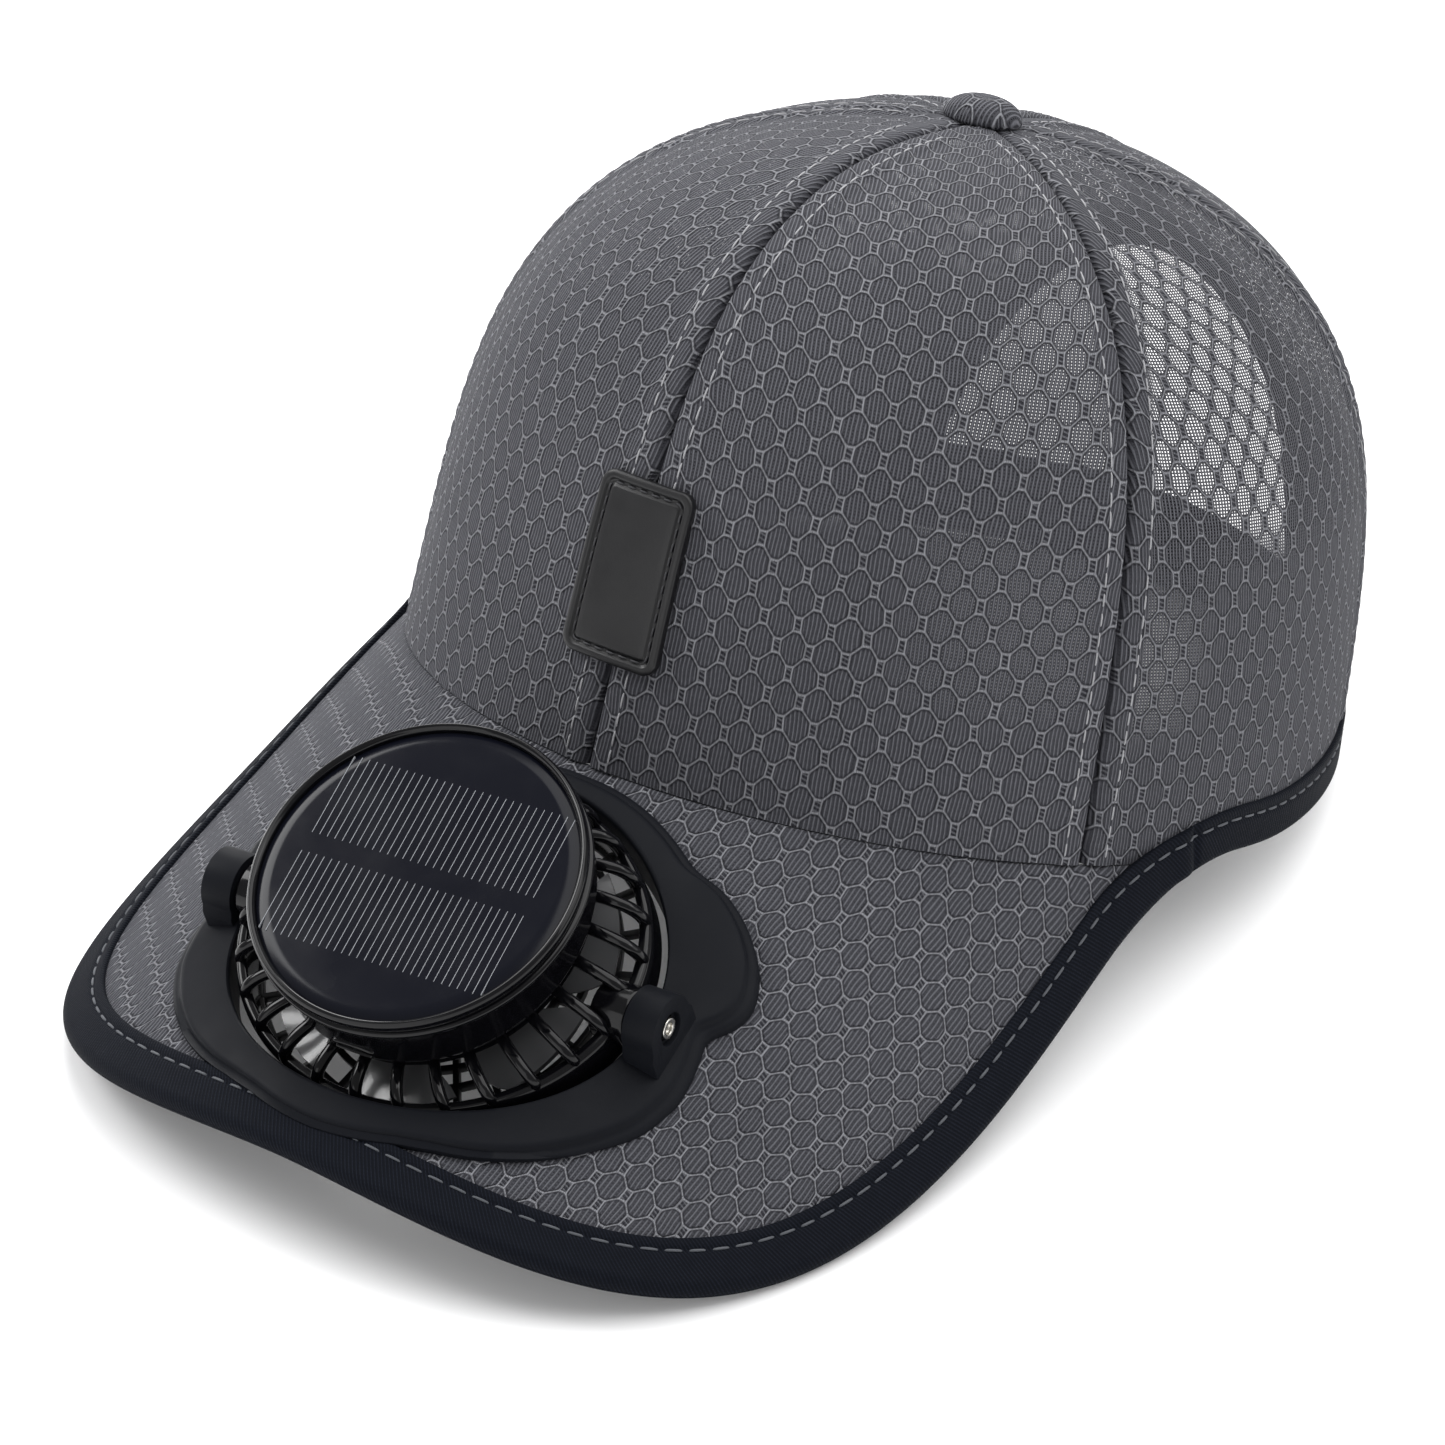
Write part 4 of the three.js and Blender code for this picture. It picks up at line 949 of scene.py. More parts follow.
def edge_sections():
    """Half of the edge tape, from the middle of the peak round its corner and back along the crown."""
    peak = [visor_edge_section(*station) for station, share in zip(EDGE, EDGE_SHARES)
            if share >= 0 and station[0][1] < EDGE_TWIST_FROM]
    end = math.pi - ARCH_HALF_ANGLE - (ARCH_TAPE_WIDTH + GAP) / CROWN_BACK
    back = [crown_edge_section(angle) for angle in np.linspace(EDGE_TWIST_TO, end, 110)]
    fold = len(tape_outline(TAPE_WIDTH, VISOR_WALL / 2)) // 2
    a, b = peak[-1], back[0]
    span = np.linalg.norm(b[fold] - a[fold])
    slope_a = (a - peak[-2]) / np.linalg.norm(a[fold] - peak[-2][fold]) * span
    slope_b = (back[1] - b) / np.linalg.norm(back[1][fold] - b[fold]) * span
    count = len(a) - 4
    room = tape_outline(RIM_TAPE_WIDTH, PANEL_WALL / 2)[:, 1] - PANEL_WALL / 2
    between = []
    for t in np.linspace(0, 1, EDGE_TWIST_STEPS + 2)[1:-1]:
        row = (a * (1 + 2 * t) * (1 - t) ** 2 + slope_a * t * (1 - t) ** 2
               + b * t * t * (3 - 2 * t) + slope_b * t * t * (t - 1))
        row[fold:count] = clear_of_crown(row[fold:count], room[fold:])
        row[count:count + 2] = clear_of_crown(row[count:count + 2],
                                              np.array([TAPE_WALL - 0.14, TAPE_WALL + 0.86]))
        out = unit(row[count + 1] - row[count])
        crease = CREASE_DEPTH * math.exp(-((t - CREASE_AT) / 0.022) ** 2)
        swell = 0.55 * math.exp(-((t - CREASE_AT + 0.07) / 0.06) ** 2)
        row[fold:count] += out * (swell - crease) * smooth(room[fold:, None], 0.1, 0.7)
        row[count:count + 2] += out * (swell - crease)
        between.append(row)
    return np.array(peak + between + back), fold, count


def edge_binding():
    half, fold, count = edge_sections()
    mirrored = half[:0:-1] * np.array([-1, 1, 1])
    whole = np.concatenate([mirrored, half])
    grid = pressed(whole[:, :count])
    tape("edge_binding", grid, path_lengths(grid[:, fold]), "twill_tape", tape_cloth,
         ["visor_binding", "rim_binding_left", "rim_binding_right"])
    top, top_out, low, low_out = (whole[2:-2, count + k] for k in range(4))
    rows = [stitches("edge_row", top, unit(top_out - top), CAP, 3.4, 0.7, 0.25, 0.08),
            stitches("edge_row_under", low, unit(low_out - low), CAP, 3.4, 0.7, 0.25, 0.08)]
    piece(join("edge_stitching", rows), "hat", "twill_tape", thread_grey)


edge_binding()


def arch_tape():
    outline = tape_outline(ARCH_TAPE_WIDTH, PANEL_WALL / 2, 2.0)
    a = np.linspace(0, math.pi, 150)
    along = unit(stack(ARCH_HALF_ANGLE * CROWN_BACK * np.sin(a), ARCH_HEIGHT * np.cos(a)))
    away = stack(-along[:, 1], along[:, 0])

    def across(distance, out):
        angle = math.pi - ARCH_HALF_ANGLE * np.cos(a)[:, None] + away[:, :1] * distance / CROWN_BACK
        height = np.maximum(ARCH_HEIGHT * np.sin(a)[:, None] + away[:, 1:] * distance, 0)
        return on_crown(angle, height, out + 0 * angle), crown_out(angle, rise_of(angle, height))

    grid, _ = across(outline[None, :, 0], outline[None, :, 1] - PANEL_WALL / 2)
    grid = pressed(grid)
    tape("arch_binding", grid, path_lengths(grid[:, 20]), "twill_tape", tape_cloth, ["arch_binding"])
    line, out = across(np.array([[ARCH_TAPE_WIDTH - 2.0]]), np.array([[TAPE_WALL - 0.1]]))
    return stitches("arch_row", line[2:-2, 0], out[2:-2, 0], CAP, 3.4, 0.7, 0.25, 0.08)


def strap(side, name):
    """A flat band with rounded edges and two rows of stitches, behind the crown's lower edge."""
    clear = PANEL_WALL + 2 * GAP + TAPE_WALL
    layer = 0 if side > 0 else STRAP_WALL + GAP
    far, near = math.pi - STRAP_END_ANGLE, math.pi + STRAP_OVERLAP
    angles = np.linspace(far, near, 90)
    step = np.clip((angles - far) / (near - far) / 0.5, 0, 1)
    sunk = clear + layer * step ** 2 * (3 - 2 * step)
    half = STRAP_WALL / 2
    turn = np.linspace(-math.pi / 2, math.pi / 2, 7)
    right = [(STRAP_WIDTH - half + half * math.cos(t), half * math.sin(t)) for t in turn]
    left = [(half - half * math.cos(t), -half * math.sin(t)) for t in turn]
    top = [(h, half - 0.14 * (math.exp(-((h - 2.4) / 0.5) ** 2)
                              + math.exp(-((h - STRAP_WIDTH + 2.4) / 0.5) ** 2)))
           for h in np.linspace(STRAP_WIDTH - 1.2, 1.2, 30)]
    low = [(h, -half) for h in np.linspace(1.2, STRAP_WIDTH - 1.2, 12)]
    outline = np.array(right + top + left + low)
    height = outline[None, :, 0] + 0 * angles[:, None]
    grid = on_crown(angles[:, None], height, outline[None, :, 1] - sunk[:, None] - half)
    rows_ = []
    for h in (2.4, STRAP_WIDTH - 2.4):
        line = on_crown(angles, np.full_like(angles, h), -sunk - 0.12)
        out = crown_out(angles, rise_of(angles, np.full_like(angles, h)))
        line[:, 0] *= side
        out[:, 0] *= side
        rows_.append(stitches(f"strap_row_{name}_{h:.0f}", line[2:-2], out[2:-2], CAP, 3.0, 0.8, 0.2, 0.06))
    grid[..., 0] *= side
    grid = pressed(grid)
    tape(f"strap_{name}", grid, path_lengths(grid[:, 10]), "twill_tape", tape_cloth, [f"strap_{name}"])
    return rows_


thread_rows = [arch_tape()]
thread_rows += strap(1, "left") + strap(-1, "right")
piece(join("tape_stitching", thread_rows), "hat", "twill_tape", thread_grey)


def top_button():
    """Cloth-covered button, squashed, gathered at its edge."""
    turn = np.linspace(0, 2 * math.pi, 97)
    rings = np.concatenate([np.linspace(0, 1, 26), [1.02, 0.99, 0.94]])
    heights = np.concatenate([
        1.0 + (BUTTON_HEIGHT - 1.0) * np.maximum(1 - np.linspace(0, 1, 26) ** 2.6, 0) ** 0.62,
        [0.5, 0.1, -0.1],
    ])
    wrinkle = 1 + 0.012 * np.cos(9 * turn[:, None] + 0.5) * smooth(rings[None, :], 0.6, 1)
    r = BUTTON_RADIUS * rings[None, :] * wrinkle
    points = stack(r * np.cos(turn)[:, None], r * np.sin(turn)[:, None], heights[None, :] + 0 * r)
    crest = crown_point(math.pi / 2, 1.0)
    uv = stack(points[..., 0], points[..., 1])
    place = CAP @ Matrix.Translation((float(crest[0]), float(crest[1]), float(crest[2]) + GAP))
    return sheet("top_button", points, place, uv, flip=True)


piece(top_button(), "hat", "mesh_cloth", crown_cloth, "top_button")


# Front patch: a moulded frame round a bare field, with a stitched groove

def rounded_rectangle(half_width, half_height, radius, count=160):
    radius = max(min(radius, half_width, half_height), 0.0)
    corners = [(half_width - radius, half_height - radius, 0),
               (-half_width + radius, half_height - radius, 90),
               (-half_width + radius, -half_height + radius, 180),
               (half_width - radius, -half_height + radius, 270)]
    per = count // 4
    points = []
    for k, (x, y, start) in enumerate(corners):
        nx, ny, _ = corners[(k + 1) % 4]
        for t in np.linspace(0, 90, per // 2, endpoint=False):
            a = math.radians(start + t)
            points.append((x + radius * math.cos(a), y + radius * math.sin(a)))
        a = math.radians(start + 90)
        p = np.array([x + radius * math.cos(a), y + radius * math.sin(a)])
        q = np.array([nx + radius * math.cos(a), ny + radius * math.sin(a)])
        for t in np.linspace(0, 1, per // 2, endpoint=False):
            points.append(tuple(p + (q - p) * t))
    return np.array(points)


def patch_place(xy, out):
    height = PATCH_BOTTOM + PATCH_HEIGHT / 2 + xy[..., 1]
    angle = np.arcsin(np.clip(xy[..., 0] / CROWN_HALF_WIDTH, -1, 1))
    return on_crown(angle, height, out)


def front_patch():
    thick = PATCH_THICKNESS + GAP
    profile = [(0.1, 0.0), (0.0, 0.25), (0.0, thick - 0.5), (0.12, thick - 0.18), (0.35, thick),
               (1.15, thick + 0.02),
               (1.4, thick - 0.1), (1.55, thick - 0.4), (1.75, thick - 0.55), (2.25, thick - 0.55),
               (2.45, thick - 0.4), (2.6, thick - 0.25), (2.9, thick - 0.2), (4.0, thick - 0.2),
               (6.0, thick - 0.2),
               (8.0, thick - 0.2), (PATCH_WIDTH / 2, thick - 0.2)]
    rings = []
    for inset, out in profile:
        xy = rounded_rectangle(PATCH_WIDTH / 2 - inset, PATCH_HEIGHT / 2 - inset, PATCH_CORNER - inset * 0.7)
        rings.append(patch_place(xy, np.full(len(xy), out)))
    grid = np.array(rings)
    rows_, cols = grid.shape[:2]
    faces = grid_faces(rows_, cols, across=True)
    low = [tuple(reversed(range(cols)))]
    obj = outward(make("front_patch", grid.reshape(-1, 3), faces + low, CAP))
    piece(obj, "hat", "soft_rubber", patch_rubber, "front_patch")
    line = rounded_rectangle(PATCH_WIDTH / 2 - 2.0, PATCH_HEIGHT / 2 - 2.0, PATCH_CORNER - 1.4)
    line = np.vstack([line, line[:1]])
    path = patch_place(line, np.full(len(line), thick - 0.5))
    out = unit(patch_place(line, np.full(len(line), 1.0)) - patch_place(line, np.zeros(len(line))))
    thread = stitches("patch_stitching", path, out, CAP, 1.9, 0.6, 0.2, 0.08)
    piece(thread, "hat", "soft_rubber", thread_dark)


front_patch()


# Fan base

BASE_OUTLINE = np.array([
    (-90, 0.922), (-70, 0.912), (-62, 0.93), (-54, 0.965), (-42, 1.013), (-30, 1.052), (-20, 1.08),
    (-10, 1.078),
    (0, 1.045), (5, 1.028), (7, 1.06), (10, 1.105), (14, 1.14), (18, 1.147), (23, 1.143), (29, 1.113),
    (35, 1.067),
    (38.5, 1.03), (42, 0.975), (45, 0.95), (50, 0.936), (56, 0.92), (63, 0.902), (70, 0.884), (80, 0.86),
    (90, 0.852),
])


def base_edge(turn, within):
    from_ear = np.degrees(np.arcsin(np.sin(turn)))
    radius = 0
    for shift, weight in ((-2.0, 0.15), (-1.0, 0.2), (0.0, 0.3), (1.0, 0.2), (2.0, 0.15)):
        radius = radius + weight * np.interp(from_ear + shift, BASE_OUTLINE[:, 0], BASE_OUTLINE[:, 1])
    radius = BASE_RADIUS * radius - within
    return radius * np.cos(turn), HOLE_BACK + radius * np.sin(turn)


def round_hole(turn, beyond):
    return ((HOLE_HALF_WIDTH + beyond) * np.cos(turn),
            HOLE_BACK + (HOLE_HALF_LENGTH + beyond) * np.sin(turn))


def fan_base():
    turn = np.linspace(0, 2 * math.pi, 480, endpoint=False)
    top = GAP + BASE_THICKNESS + BASE_REAR_RISE * np.sin(turn)
    ahead = np.clip((-np.sin(turn) - 0.4) / 0.3, 0, 1)
    foot = 0.05 + (TAPE_WALL + 0.15) * ahead
    collar = -(VISOR_WALL + 2 * GAP + UNDER_RING_THICKNESS)
    section = [
        (round_hole(turn, 0), collar + 0 * turn), (round_hole(turn, 0), top - 1.6),
        (round_hole(turn, 0), top - 0.8), (round_hole(turn, 0.12), top - 0.35),
        (round_hole(turn, 0.45), top - 0.05),
        (round_hole(turn, 0.9), top),
        (base_edge(turn, 2.7), top - 0.02), (base_edge(turn, 2.0), top - 0.14),
        (base_edge(turn, 1.65), top - 0.42),
        (base_edge(turn, 1.5), top - 0.9), (base_edge(turn, 1.35), top - 1.12),
        (base_edge(turn, 0.75), top - 1.2),
        (base_edge(turn, 0.25), top - 1.35), (base_edge(turn, 0), top - 1.65),
        (base_edge(turn, 0), foot + 0.15), (base_edge(turn, 0.2), foot),
        (round_hole(turn, COLLAR_WALL + 0.2), foot), (round_hole(turn, COLLAR_WALL), foot - 0.3),
        (round_hole(turn, COLLAR_WALL), collar + 0 * turn),
    ]
    grid = np.stack([over_peak(x, y, out) for (x, y), out in section], 1)
    plate = outward(sheet("plate", grid, FAN, around=True, across=True))
    seat = cylinder_x("seat", BOSS_RADIUS + GAP, -EAR_INSIDE, EAR_INSIDE, FAN, edge=0.05)
    cut_out(plate, seat)
    parts = [plate]
    for side in (1, -1):
        parts.append(ear(side))
    return join("fan_base", parts)


def cut_out(obj, tool):
    modifier = obj.modifiers.new("cut", "BOOLEAN")
    modifier.operation = "DIFFERENCE"
    modifier.solver = "EXACT"
    modifier.object = tool
    settle(obj)
    bpy.data.objects.remove(tool)
    return obj


def ear(side):
    """Upright block with a domed top and flared feet, a bore and a round recess for its screw."""
    shape = [(-EAR_FOOT, -EAR_RADIUS), (-EAR_FOOT, -1.5)]
    shape += [(EAR_RADIUS * math.cos(a), EAR_RADIUS * math.sin(a)) for a in np.linspace(math.pi, 0, 33)]
    shape += [(EAR_FOOT, -1.5), (EAR_FOOT, -EAR_RADIUS)]
    rings = []
    for x in (EAR_INSIDE, EAR_INSIDE + EAR_THICKNESS):
        ring = []
        for k, (y, z) in enumerate(shape):
            root = float(over_peak(side * x, y, GAP + BASE_THICKNESS / 2)[2])
            ring.append((side * x, y, root if k in (0, len(shape) - 1) else max(z, root + 0.2)))
        rings.append(ring)
    count = len(shape)
    faces = [(k, (k + 1) % count, count + (k + 1) % count, count + k) for k in range(count)]
    faces += [tuple(reversed(range(count))), tuple(range(count, 2 * count))]
    block = outward(make("ear", np.array(rings).reshape(-1, 3), faces, FAN, creased=True))
    out = EAR_INSIDE + EAR_THICKNESS
    ends = sorted((side * (out - SCREW_RECESS), side * (out + 1)))
    cut_out(block, cylinder_x("recess", SCREW_RECESS_RADIUS, *ends, FAN, edge=0.01))
    ends = sorted((side * (EAR_INSIDE - 1), side * (out + 1)))
    cut_out(block, cylinder_x("bore", PIN_RADIUS + GAP, *ends, FAN, edge=0.01))
    bevelled(block, 0.75, 4, 40)
    block.data.polygons.foreach_set("use_smooth", [True] * len(block.data.polygons))
    return block


def auto_smooth(obj, angle=40):
    """Splits shading at sharp edges and keeps it smooth elsewhere."""
    obj.data.polygons.foreach_set("use_smooth", [True] * len(obj.data.polygons))
    work = bmesh.new()
    work.from_mesh(obj.data)
    for edge in work.edges:
        edge.smooth = len(edge.link_faces) != 2 or edge.calc_face_angle(0) < math.radians(angle)
    work.to_mesh(obj.data)
    work.free()
    return obj


piece(auto_smooth(fan_base()), "hat", "satin_plastic", plate_plastic, "fan_base")


def under_ring():
    turn = np.linspace(0, 2 * math.pi, 240, endpoint=False)
    high = -(VISOR_WALL + 0.05)
    low = -(VISOR_WALL + GAP + UNDER_RING_THICKNESS)
    near, far = COLLAR_WALL + GAP, COLLAR_WALL + UNDER_RING_WIDTH
    section = rounded([(near, high), (far, high), (far, low), (near, low)], 0.5, 4, closed=True)
    grid = np.stack([over_peak(*round_hole(turn, beyond), out) for beyond, out in section], 1)
    return outward(sheet("under_ring", grid, FAN, around=True, across=True))


piece(auto_smooth(under_ring()), "hat", "satin_plastic", plate_plastic, "under_ring")


# Tilting head

def swept(name, sections, place):
    """A rod through stations, with a cap at each end."""
    grid = np.array(sections)
    rows_, cols = grid.shape[:2]
    faces = grid_faces(rows_, cols, across=True)
    faces += [tuple(reversed(range(cols))), tuple((rows_ - 1) * cols + k for k in range(cols))]
    return outward(make(name, grid.reshape(-1, 3), faces, place))


def housing_low(y):
    """The housing's underside is a slanted plane, lower at the front; y is from the disc's middle."""
    return HOUSING_BOTTOM + HOUSING_WEDGE * y


def wedged(obj, low, high):
    """Shears a turned piece of the head: full slant at the low height and under it, none at the high one."""
    back = ROUND.inverted()
    for vertex in obj.data.vertices:
        here = back @ vertex.co
        share = min(max((high - here.z) / (high - low), 0), 1)
        here.z += HOUSING_WEDGE * here.y * share
        vertex.co = ROUND @ here
    return obj


def rib(turn):
    """One curved rib, from under the disc out and down to the ring."""
    s = np.linspace(0, 1, 25) ** 1.4
    quarter = s * math.pi / 2
    out = np.sin(quarter) ** RIB_BULGE
    angle = turn + RIB_SWIRL * s
    across = RIB_TOP_RADIUS + (CAGE_HALF_WIDTH - CAGE_WALL / 2 - RIB_TOP_RADIUS) * out
    along = RIB_TOP_RADIUS + (CAGE_HALF_LENGTH - CAGE_WALL / 2 - RIB_TOP_RADIUS) * out
    back = HEAD_BACK + (HOLE_BACK - HEAD_BACK) * out
    start = housing_low(RIB_TOP_RADIUS * math.sin(turn)) - RIB_BELOW_HOUSING
    height = start - (start - CAGE_TOP * 0.4) * (1 - np.maximum(np.cos(quarter), 0) ** RIB_BULGE)
    line = stack(across * np.cos(angle), back + along * np.sin(angle), height)
    path = unit(np.gradient(line, axis=0))
    outward_ = unit(stack(line[:, 0], line[:, 1] - HOLE_BACK, 0.0))
    wide = unit(np.cross(path, outward_))
    deep = unit(np.cross(wide, path))
    ring = np.linspace(0, 2 * math.pi, 14, endpoint=False)
    outline = stack(np.sign(np.cos(ring)) * np.abs(np.cos(ring)) ** 0.8, np.sin(ring))
    sections = [p + w * outline[:, :1] * RIB_WIDTH / 2 + d * outline[:, 1:] * RIB_DEPTH / 2
                for p, w, d in zip(line, wide, deep)]
    return swept("rib", sections, HEAD)


def fan_cage():
    turn = np.linspace(0, 2 * math.pi, 240, endpoint=False)
    section = rounded([
        (CAGE_WALL, CAGE_BOTTOM), (0.2, CAGE_BOTTOM), (0.0, CAGE_BOTTOM + 0.6), (0.0, CAGE_TOP - 0.9),
        (0.7, CAGE_TOP), (CAGE_WALL, CAGE_TOP - 0.1),
    ], 0.45, 4, closed=True)
    ring = np.stack([stack((CAGE_HALF_WIDTH - w) * np.cos(turn),
                           HOLE_BACK + (CAGE_HALF_LENGTH - w) * np.sin(turn),
                           z + 0 * turn) for w, z in section], 1)
    parts = [outward(sheet("ring", ring, HEAD, around=True, across=True))]
    low, high = HOUSING_BOTTOM - RIB_BELOW_HOUSING - 1, HOUSING_BOTTOM - GAP
    profile = rounded([(RIB_TOP_RADIUS - 2.4, low), (RIB_TOP_RADIUS + 1, low), (RIB_TOP_RADIUS + 0.6, high),
                       (RIB_TOP_RADIUS - 2.4, high)], 0.4, 3, closed=True)
    parts.append(wedged(lathe("crown_ring", profile, ROUND, closed=True), high, HEAD_TOP))
    parts += [rib(2 * math.pi * k / RIB_COUNT) for k in range(RIB_COUNT)]
    pin = EAR_INSIDE + EAR_THICKNESS - SCREW_RECESS - GAP
    for side in (1, -1):
        ends = sorted((side * BOSS_INSIDE, side * (EAR_INSIDE - GAP)))
        parts.append(cylinder_x("boss", BOSS_RADIUS, *ends, HEAD, edge=0.7))
        ends = sorted((side * BOSS_INSIDE, side * pin))
        parts.append(cylinder_x("pin", PIN_RADIUS, *ends, HEAD, edge=0.2))
    return join("fan_cage", parts)


piece(auto_smooth(fan_cage(), 50), "fan_head", "gloss_plastic", gloss_plastic, "fan_cage")


def rear_grille():
    low = CAGE_BOTTOM - GAP - GRILLE_THICKNESS
    high = low + GRILLE_THICKNESS
    turn = np.linspace(0, 2 * math.pi, 200, endpoint=False)
    section = rounded([(0.9, low), (0.9, high), (CAGE_WALL + 0.4, high), (CAGE_WALL + 0.4, low)], 0.3, 3,
                      closed=True)
    ring = np.stack([stack((CAGE_HALF_WIDTH - w) * np.cos(turn), (CAGE_HALF_LENGTH - w) * np.sin(turn),
                           z + 0 * turn)
                     for w, z in section], 1)
    parts = [outward(sheet("grille_rim", ring, INNER, around=True, across=True))]
    for share in (0.86, 0.715, 0.6, 0.48):
        near = CAGE_HALF_LENGTH * share
        hoop = rounded([(near, low), (near + GRILLE_BAR, low), (near + GRILLE_BAR, high), (near, high)],
                       0.3, 3, True)
        parts.append(lathe("hoop", hoop, INNER, 120, closed=True))
    disc = rounded([(0, low), (MOTOR_RADIUS, low), (MOTOR_RADIUS, high), (0, high)], 0.4, 4)
    parts.append(lathe("grille_disc", disc, INNER, 96))
    for k in range(24):
        a = math.pi / 12 * k
        far = math.hypot((CAGE_HALF_WIDTH - CAGE_WALL) * math.cos(a),
                         (CAGE_HALF_LENGTH - CAGE_WALL) * math.sin(a))
        direction = np.array([math.cos(a), math.sin(a), 0])
        wide = np.array([-math.sin(a), math.cos(a), 0])
        outline = rounded([(-0.6, low), (0.6, low), (0.6, high), (-0.6, high)], 0.3, 3, closed=True)
        sections = [direction * r + wide * outline[:, :1] + np.array([0, 0, 1]) * outline[:, 1:]
                    for r in (MOTOR_RADIUS - 1, far)]
        parts.append(swept("spoke", sections, INNER))
    return join("rear_grille", parts)


piece(auto_smooth(rear_grille(), 50), "fan_head", "satin_plastic", dark_plastic, "rear_grille")


def housing():
    wide = HEAD_RADIUS - 1
    flange = HEAD_TOP - 4.1
    profile = rounded([
        (0, HOUSING_BOTTOM), (wide - 0.8, HOUSING_BOTTOM), (wide, HOUSING_BOTTOM + 0.9),
        (wide + 0.1, flange - 0.3), (HEAD_RADIUS + 0.2, flange), (HEAD_RADIUS + 0.2, flange + 1.0),
        (wide + 0.2, flange + 1.35), (wide + 0.2, HEAD_TOP - BEZEL_HEIGHT - 0.05),
        (0, HEAD_TOP - BEZEL_HEIGHT - 0.05),
    ], 0.5, 5)
    return wedged(lathe("fan_housing", profile, ROUND, 200), HOUSING_BOTTOM, flange - 0.3)


piece(auto_smooth(housing(), 60), "fan_head", "gloss_plastic", gloss_plastic, "fan_housing")


def bezel():
    low = HEAD_TOP - BEZEL_HEIGHT
    profile = rounded([
        (HEAD_RADIUS - BEZEL_WIDTH, low), (HEAD_RADIUS - 0.2, low), (HEAD_RADIUS, low + 0.5),
        (HEAD_RADIUS, HEAD_TOP - 0.65), (HEAD_RADIUS - 0.5, HEAD_TOP),
        (HEAD_RADIUS - BEZEL_WIDTH + 0.5, HEAD_TOP - 0.1), (HEAD_RADIUS - BEZEL_WIDTH, HEAD_TOP - 0.7),
    ], 0.45, 5, closed=True)
    return lathe("fan_bezel", profile, ROUND, 200, closed=True)


piece(auto_smooth(bezel(), 60), "fan_head", "gloss_plastic", gloss_plastic, "fan_bezel")


def slab(name, x0, x1, y0, y1, z0, z1, place, edge=0.05):
    outline = [(x0, y0), (x1, y0), (x1, y1), (x0, y1)]
    verts = [(x, y, z0) for x, y in outline] + [(x, y, z1) for x, y in outline]
    faces = [(3, 2, 1, 0), (4, 5, 6, 7), (0, 1, 5, 4), (1, 2, 6, 5), (2, 3, 7, 6), (3, 0, 4, 7)]
    obj = make(name, verts, faces, place, creased=True)
    return bevelled(obj, edge, 2) if edge else obj


def solar_panel():
    radius = HEAD_RADIUS - BEZEL_WIDTH - 0.05
    low = HEAD_TOP - BEZEL_HEIGHT
    falls = [(radius - 2.6 * (1 - t), PANEL_FACE - 0.55 * t ** 2) for t in np.linspace(1, 0, 12)]
    profile = [(0, low), (radius, low)] + falls + [(0, PANEL_FACE)]
    disc = lathe("solar_panel", profile, ROUND, 200)
    piece(auto_smooth(disc, 60), "fan_head", "solar_cell", cell_glass, "solar_panel")
    lines = []
    pitch = 2 * CELL_HALF_WIDTH / CELL_LINES
    place = ROUND @ Matrix.Rotation(CELL_TURN, 4, "Z")
    for k in range(CELL_LINES):
        x = -CELL_HALF_WIDTH + (k + 0.5) * pitch
        end = min(CELL_HALF_HEIGHT, math.sqrt(radius ** 2 - x ** 2) - 0.3)
        for y0, y1 in ((-end, -CELL_SPLIT), (CELL_SPLIT, end)):
            lines.append(slab("line", x - CELL_LINE_HALF, x + CELL_LINE_HALF, y0, y1, PANEL_FACE - 0.6,
                              PANEL_FACE + 0.015, place, 0))
    piece(join("solar_fingers", lines), "fan_head", "solar_cell", cell_line)


solar_panel()


def charge_port():
    """Small oval socket with a raised glossy rim and a dark mouth."""
    y = -(HEAD_RADIUS - 1.2 + GAP)
    z = float(housing_low(y)) + 3.4
    half, tall = 2.8, 0.9
    turn = np.linspace(0, 2 * math.pi, 96, endpoint=False)
    long = np.sign(np.cos(turn)) * half * np.minimum(np.abs(np.cos(turn)) * 1.6, 1)
    rings = []
    for grow, depth in ((0.45, 0.6), (0.45, 0.0), (0.3, -0.22), (0.05, -0.3), (-0.1, -0.15),
                        (-0.15, 0.35), (-0.5, 0.4)):
        x = long + (tall + grow) * np.cos(turn)
        h = (tall + grow) * np.sin(turn)
        rings.append(stack(x, y + depth, z + h))
    grid = np.array(rings)
    rows_, cols = grid.shape[:2]
    faces = grid_faces(rows_, cols, across=True) + [tuple((rows_ - 1) * cols + k for k in range(cols))]
    return outward(make("charge_port", grid.reshape(-1, 3), faces, ROUND))


piece(auto_smooth(charge_port(), 50), "fan_head", "soft_rubber", gloss_plastic, "charge_port")


def motor():
    low = HUB_LOW + HUB_HEIGHT + GAP
    high = housing_low(-MOTOR_RADIUS - HEAD_BACK) - GAP
    profile = rounded([(0, low - 3), (1, low - 3), (1, low), (MOTOR_RADIUS, low), (MOTOR_RADIUS, high),
                       (0, high)], 0.4, 4)
    return lathe("fan_motor", profile, INNER, 96)


piece(auto_smooth(motor(), 50), "fan_head", "motor_steel", motor_can, "fan_motor")


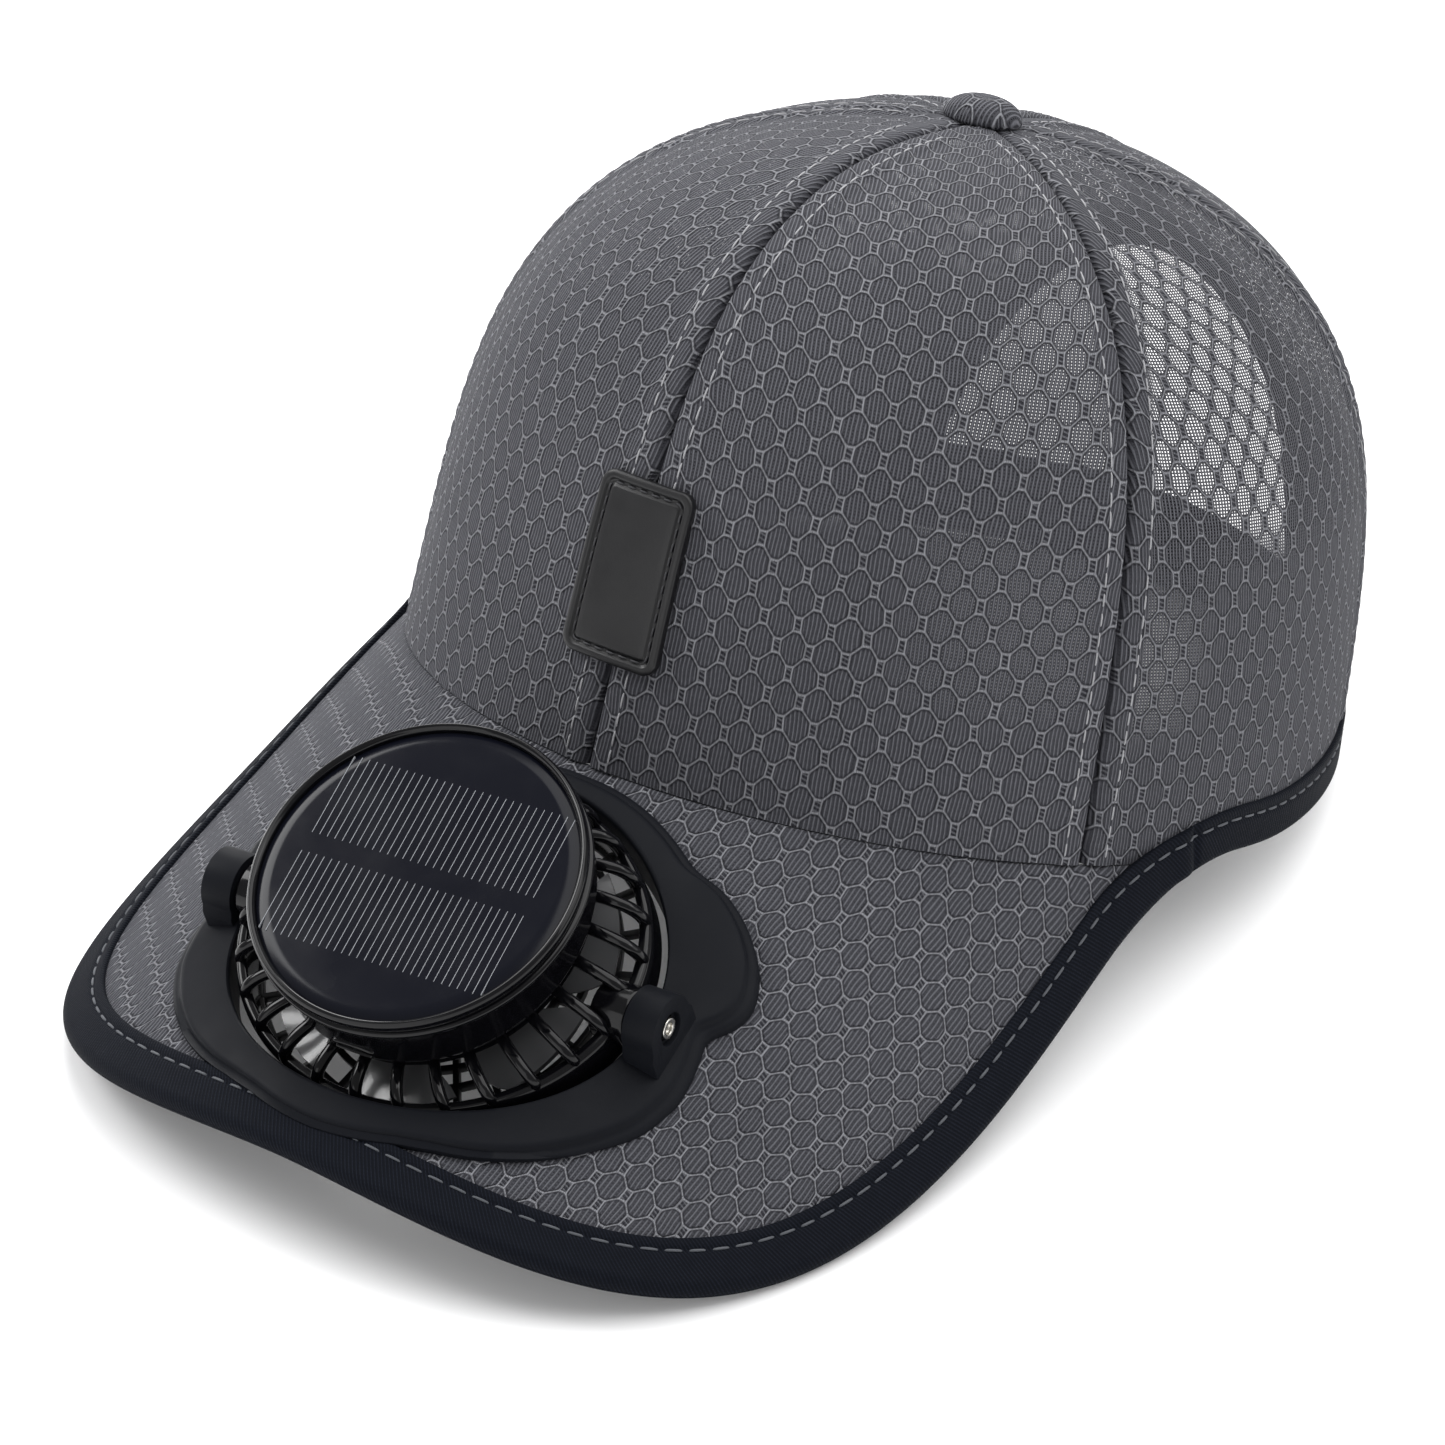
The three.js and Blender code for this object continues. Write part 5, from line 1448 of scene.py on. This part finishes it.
def rotor():
    low, high = HUB_LOW, HUB_LOW + HUB_HEIGHT
    hub = rounded([
        (0, low), (HUB_RADIUS - 1, low), (HUB_RADIUS, low + 1), (HUB_RADIUS, high), (1 + GAP, high),
        (1 + GAP, high - 3.4), (0, high - 3.4),
    ], 0.5, 4)
    parts = [lathe("hub", hub, INNER, 120)]
    s = np.linspace(0, 1, 14)[:, None]
    t = np.linspace(-1, 1, 15)[None, :]
    for k in range(BLADE_COUNT):
        radius = HUB_RADIUS - 0.6 + (BLADE_REACH - HUB_RADIUS + 0.6) * s
        tilt = np.tan(np.radians(BLADE_TWIST - 12 * s))
        chord = np.minimum(np.radians(13 + 9 * s),
                           2.1 / tilt / radius) * np.sqrt(np.maximum(1 - 0.35 * s ** 6, 0.1))
        angle = 2 * math.pi * k / BLADE_COUNT + 0.5 * s + t * chord
        height = low + HUB_HEIGHT / 2 + t * chord * radius * tilt - 0.35 * (1 - t ** 2)
        thick = BLADE_THICKNESS / 2 * np.sqrt(np.maximum(1 - t ** 4, 0.12))
        top = stack(radius * np.cos(angle), radius * np.sin(angle), height + thick)
        under = stack(radius * np.cos(angle), radius * np.sin(angle), height - thick)
        ring = np.concatenate([top, under[:, ::-1]], 1)
        rows_, cols = ring.shape[:2]
        faces = grid_faces(rows_, cols, across=True)
        faces += [tuple(reversed(range(cols))), tuple((rows_ - 1) * cols + j for j in range(cols))]
        parts.append(outward(make("blade", ring.reshape(-1, 3), faces, INNER)))
    return join("fan_rotor", parts)


piece(auto_smooth(rotor(), 60), "rotor", "smoky_plastic", smoky, "fan_rotor")


def pivot_screw(side):
    """Hollow rivet end: a bright ring round a dark bore."""
    out = EAR_INSIDE + EAR_THICKNESS
    near, far = out - SCREW_RECESS, out - 0.25
    outer, inner_ = PIN_RADIUS - 0.1, PIN_RADIUS - 0.95
    profile = rounded([(0, near), (outer, near), (outer, far), (inner_, far), (inner_, near + 0.15),
                       (0, near + 0.15)],
                      0.22, 4)
    if side < 0:
        profile = profile * np.array([1, -1])
    return lathe("screw", profile, HEAD @ Matrix.Rotation(math.pi / 2, 4, "Y"), 64)


for side, name in ((1, "left"), (-1, "right")):
    screw = auto_smooth(pivot_screw(side), 60)
    screw.name = f"pivot_screw_{name}"
    piece(screw, "fan_head", "screw_steel", steel, f"pivot_screw_{name}")


# Floor, light and camera

def studio():
    bpy.ops.mesh.primitive_plane_add(size=14, location=(0, 0, 0))
    floor = bpy.context.object
    floor.name = "floor"
    pale = Shader("pale_floor", Base_Color=(0.93, 0.93, 0.935, 1), Roughness=0.7)
    pale.surface.inputs["Specular IOR Level"].default_value = 0.15
    pale.surface.inputs["Emission Color"].default_value = (1, 1, 1, 1)
    pale.surface.inputs["Emission Strength"].default_value = 0.07
    floor.data.materials.append(pale.material)
    world = bpy.data.worlds.new("studio") if scene.world is None else scene.world
    scene.world = world
    world.use_nodes = True
    back = world.node_tree.nodes["Background"]
    back.inputs[0].default_value = (1, 1, 1, 1)
    back.inputs[1].default_value = 0.46
    for name, place, size, power, target in (
        ("top", (0.3, 0.45, 1.5), 1.9, 30, (0, -0.05, 0.0)),
        ("left", (-1.3, -0.25, 1.1), 0.9, 20, (0, 0.0, 0.08)),
        ("rear_left", (-0.8, 1.0, 0.8), 0.7, 12, (0, 0.0, 0.1)),
        ("right", (1.2, 0.55, 0.8), 0.9, 4, (0, 0, 0.05)),
        ("front", (0.0, -1.2, 0.26), 0.9, 3.5, (0, -0.13, 0.0)),
    ):
        light = bpy.data.lights.new(name, "AREA")
        light.shape = "SQUARE"
        light.size = size
        light.energy = power
        lamp = bpy.data.objects.new(name, light)
        lamp.location = place
        lamp.rotation_euler = (Vector(target) - Vector(place)).to_track_quat("-Z", "Y").to_euler()
        scene.collection.objects.link(lamp)
    scene.view_settings.view_transform = "Standard"


studio()

camera_data = bpy.data.cameras.new("camera")
camera = bpy.data.objects.new("camera", camera_data)
scene.collection.objects.link(camera)
camera_data.sensor_width = 36
camera_data.lens = 132.957
camera_data.clip_start, camera_data.clip_end = 0.02, 30
target = Vector((6.357, -20.003, 42.245)) * 0.001
camera.location = Vector((457.81, -668.68, 550.67)) * 0.001
forward = (target - camera.location).normalized()
right = forward.cross(Vector((0, 0, 1))).normalized()
up = right.cross(forward)
roll = math.radians(0.4484)
turned_right = right * math.cos(roll) + up * math.sin(roll)
turned_up = up * math.cos(roll) - right * math.sin(roll)
camera.rotation_mode = "QUATERNION"
camera.rotation_quaternion = Matrix((turned_right, turned_up, -forward)).transposed().to_quaternion()
scene.camera = camera
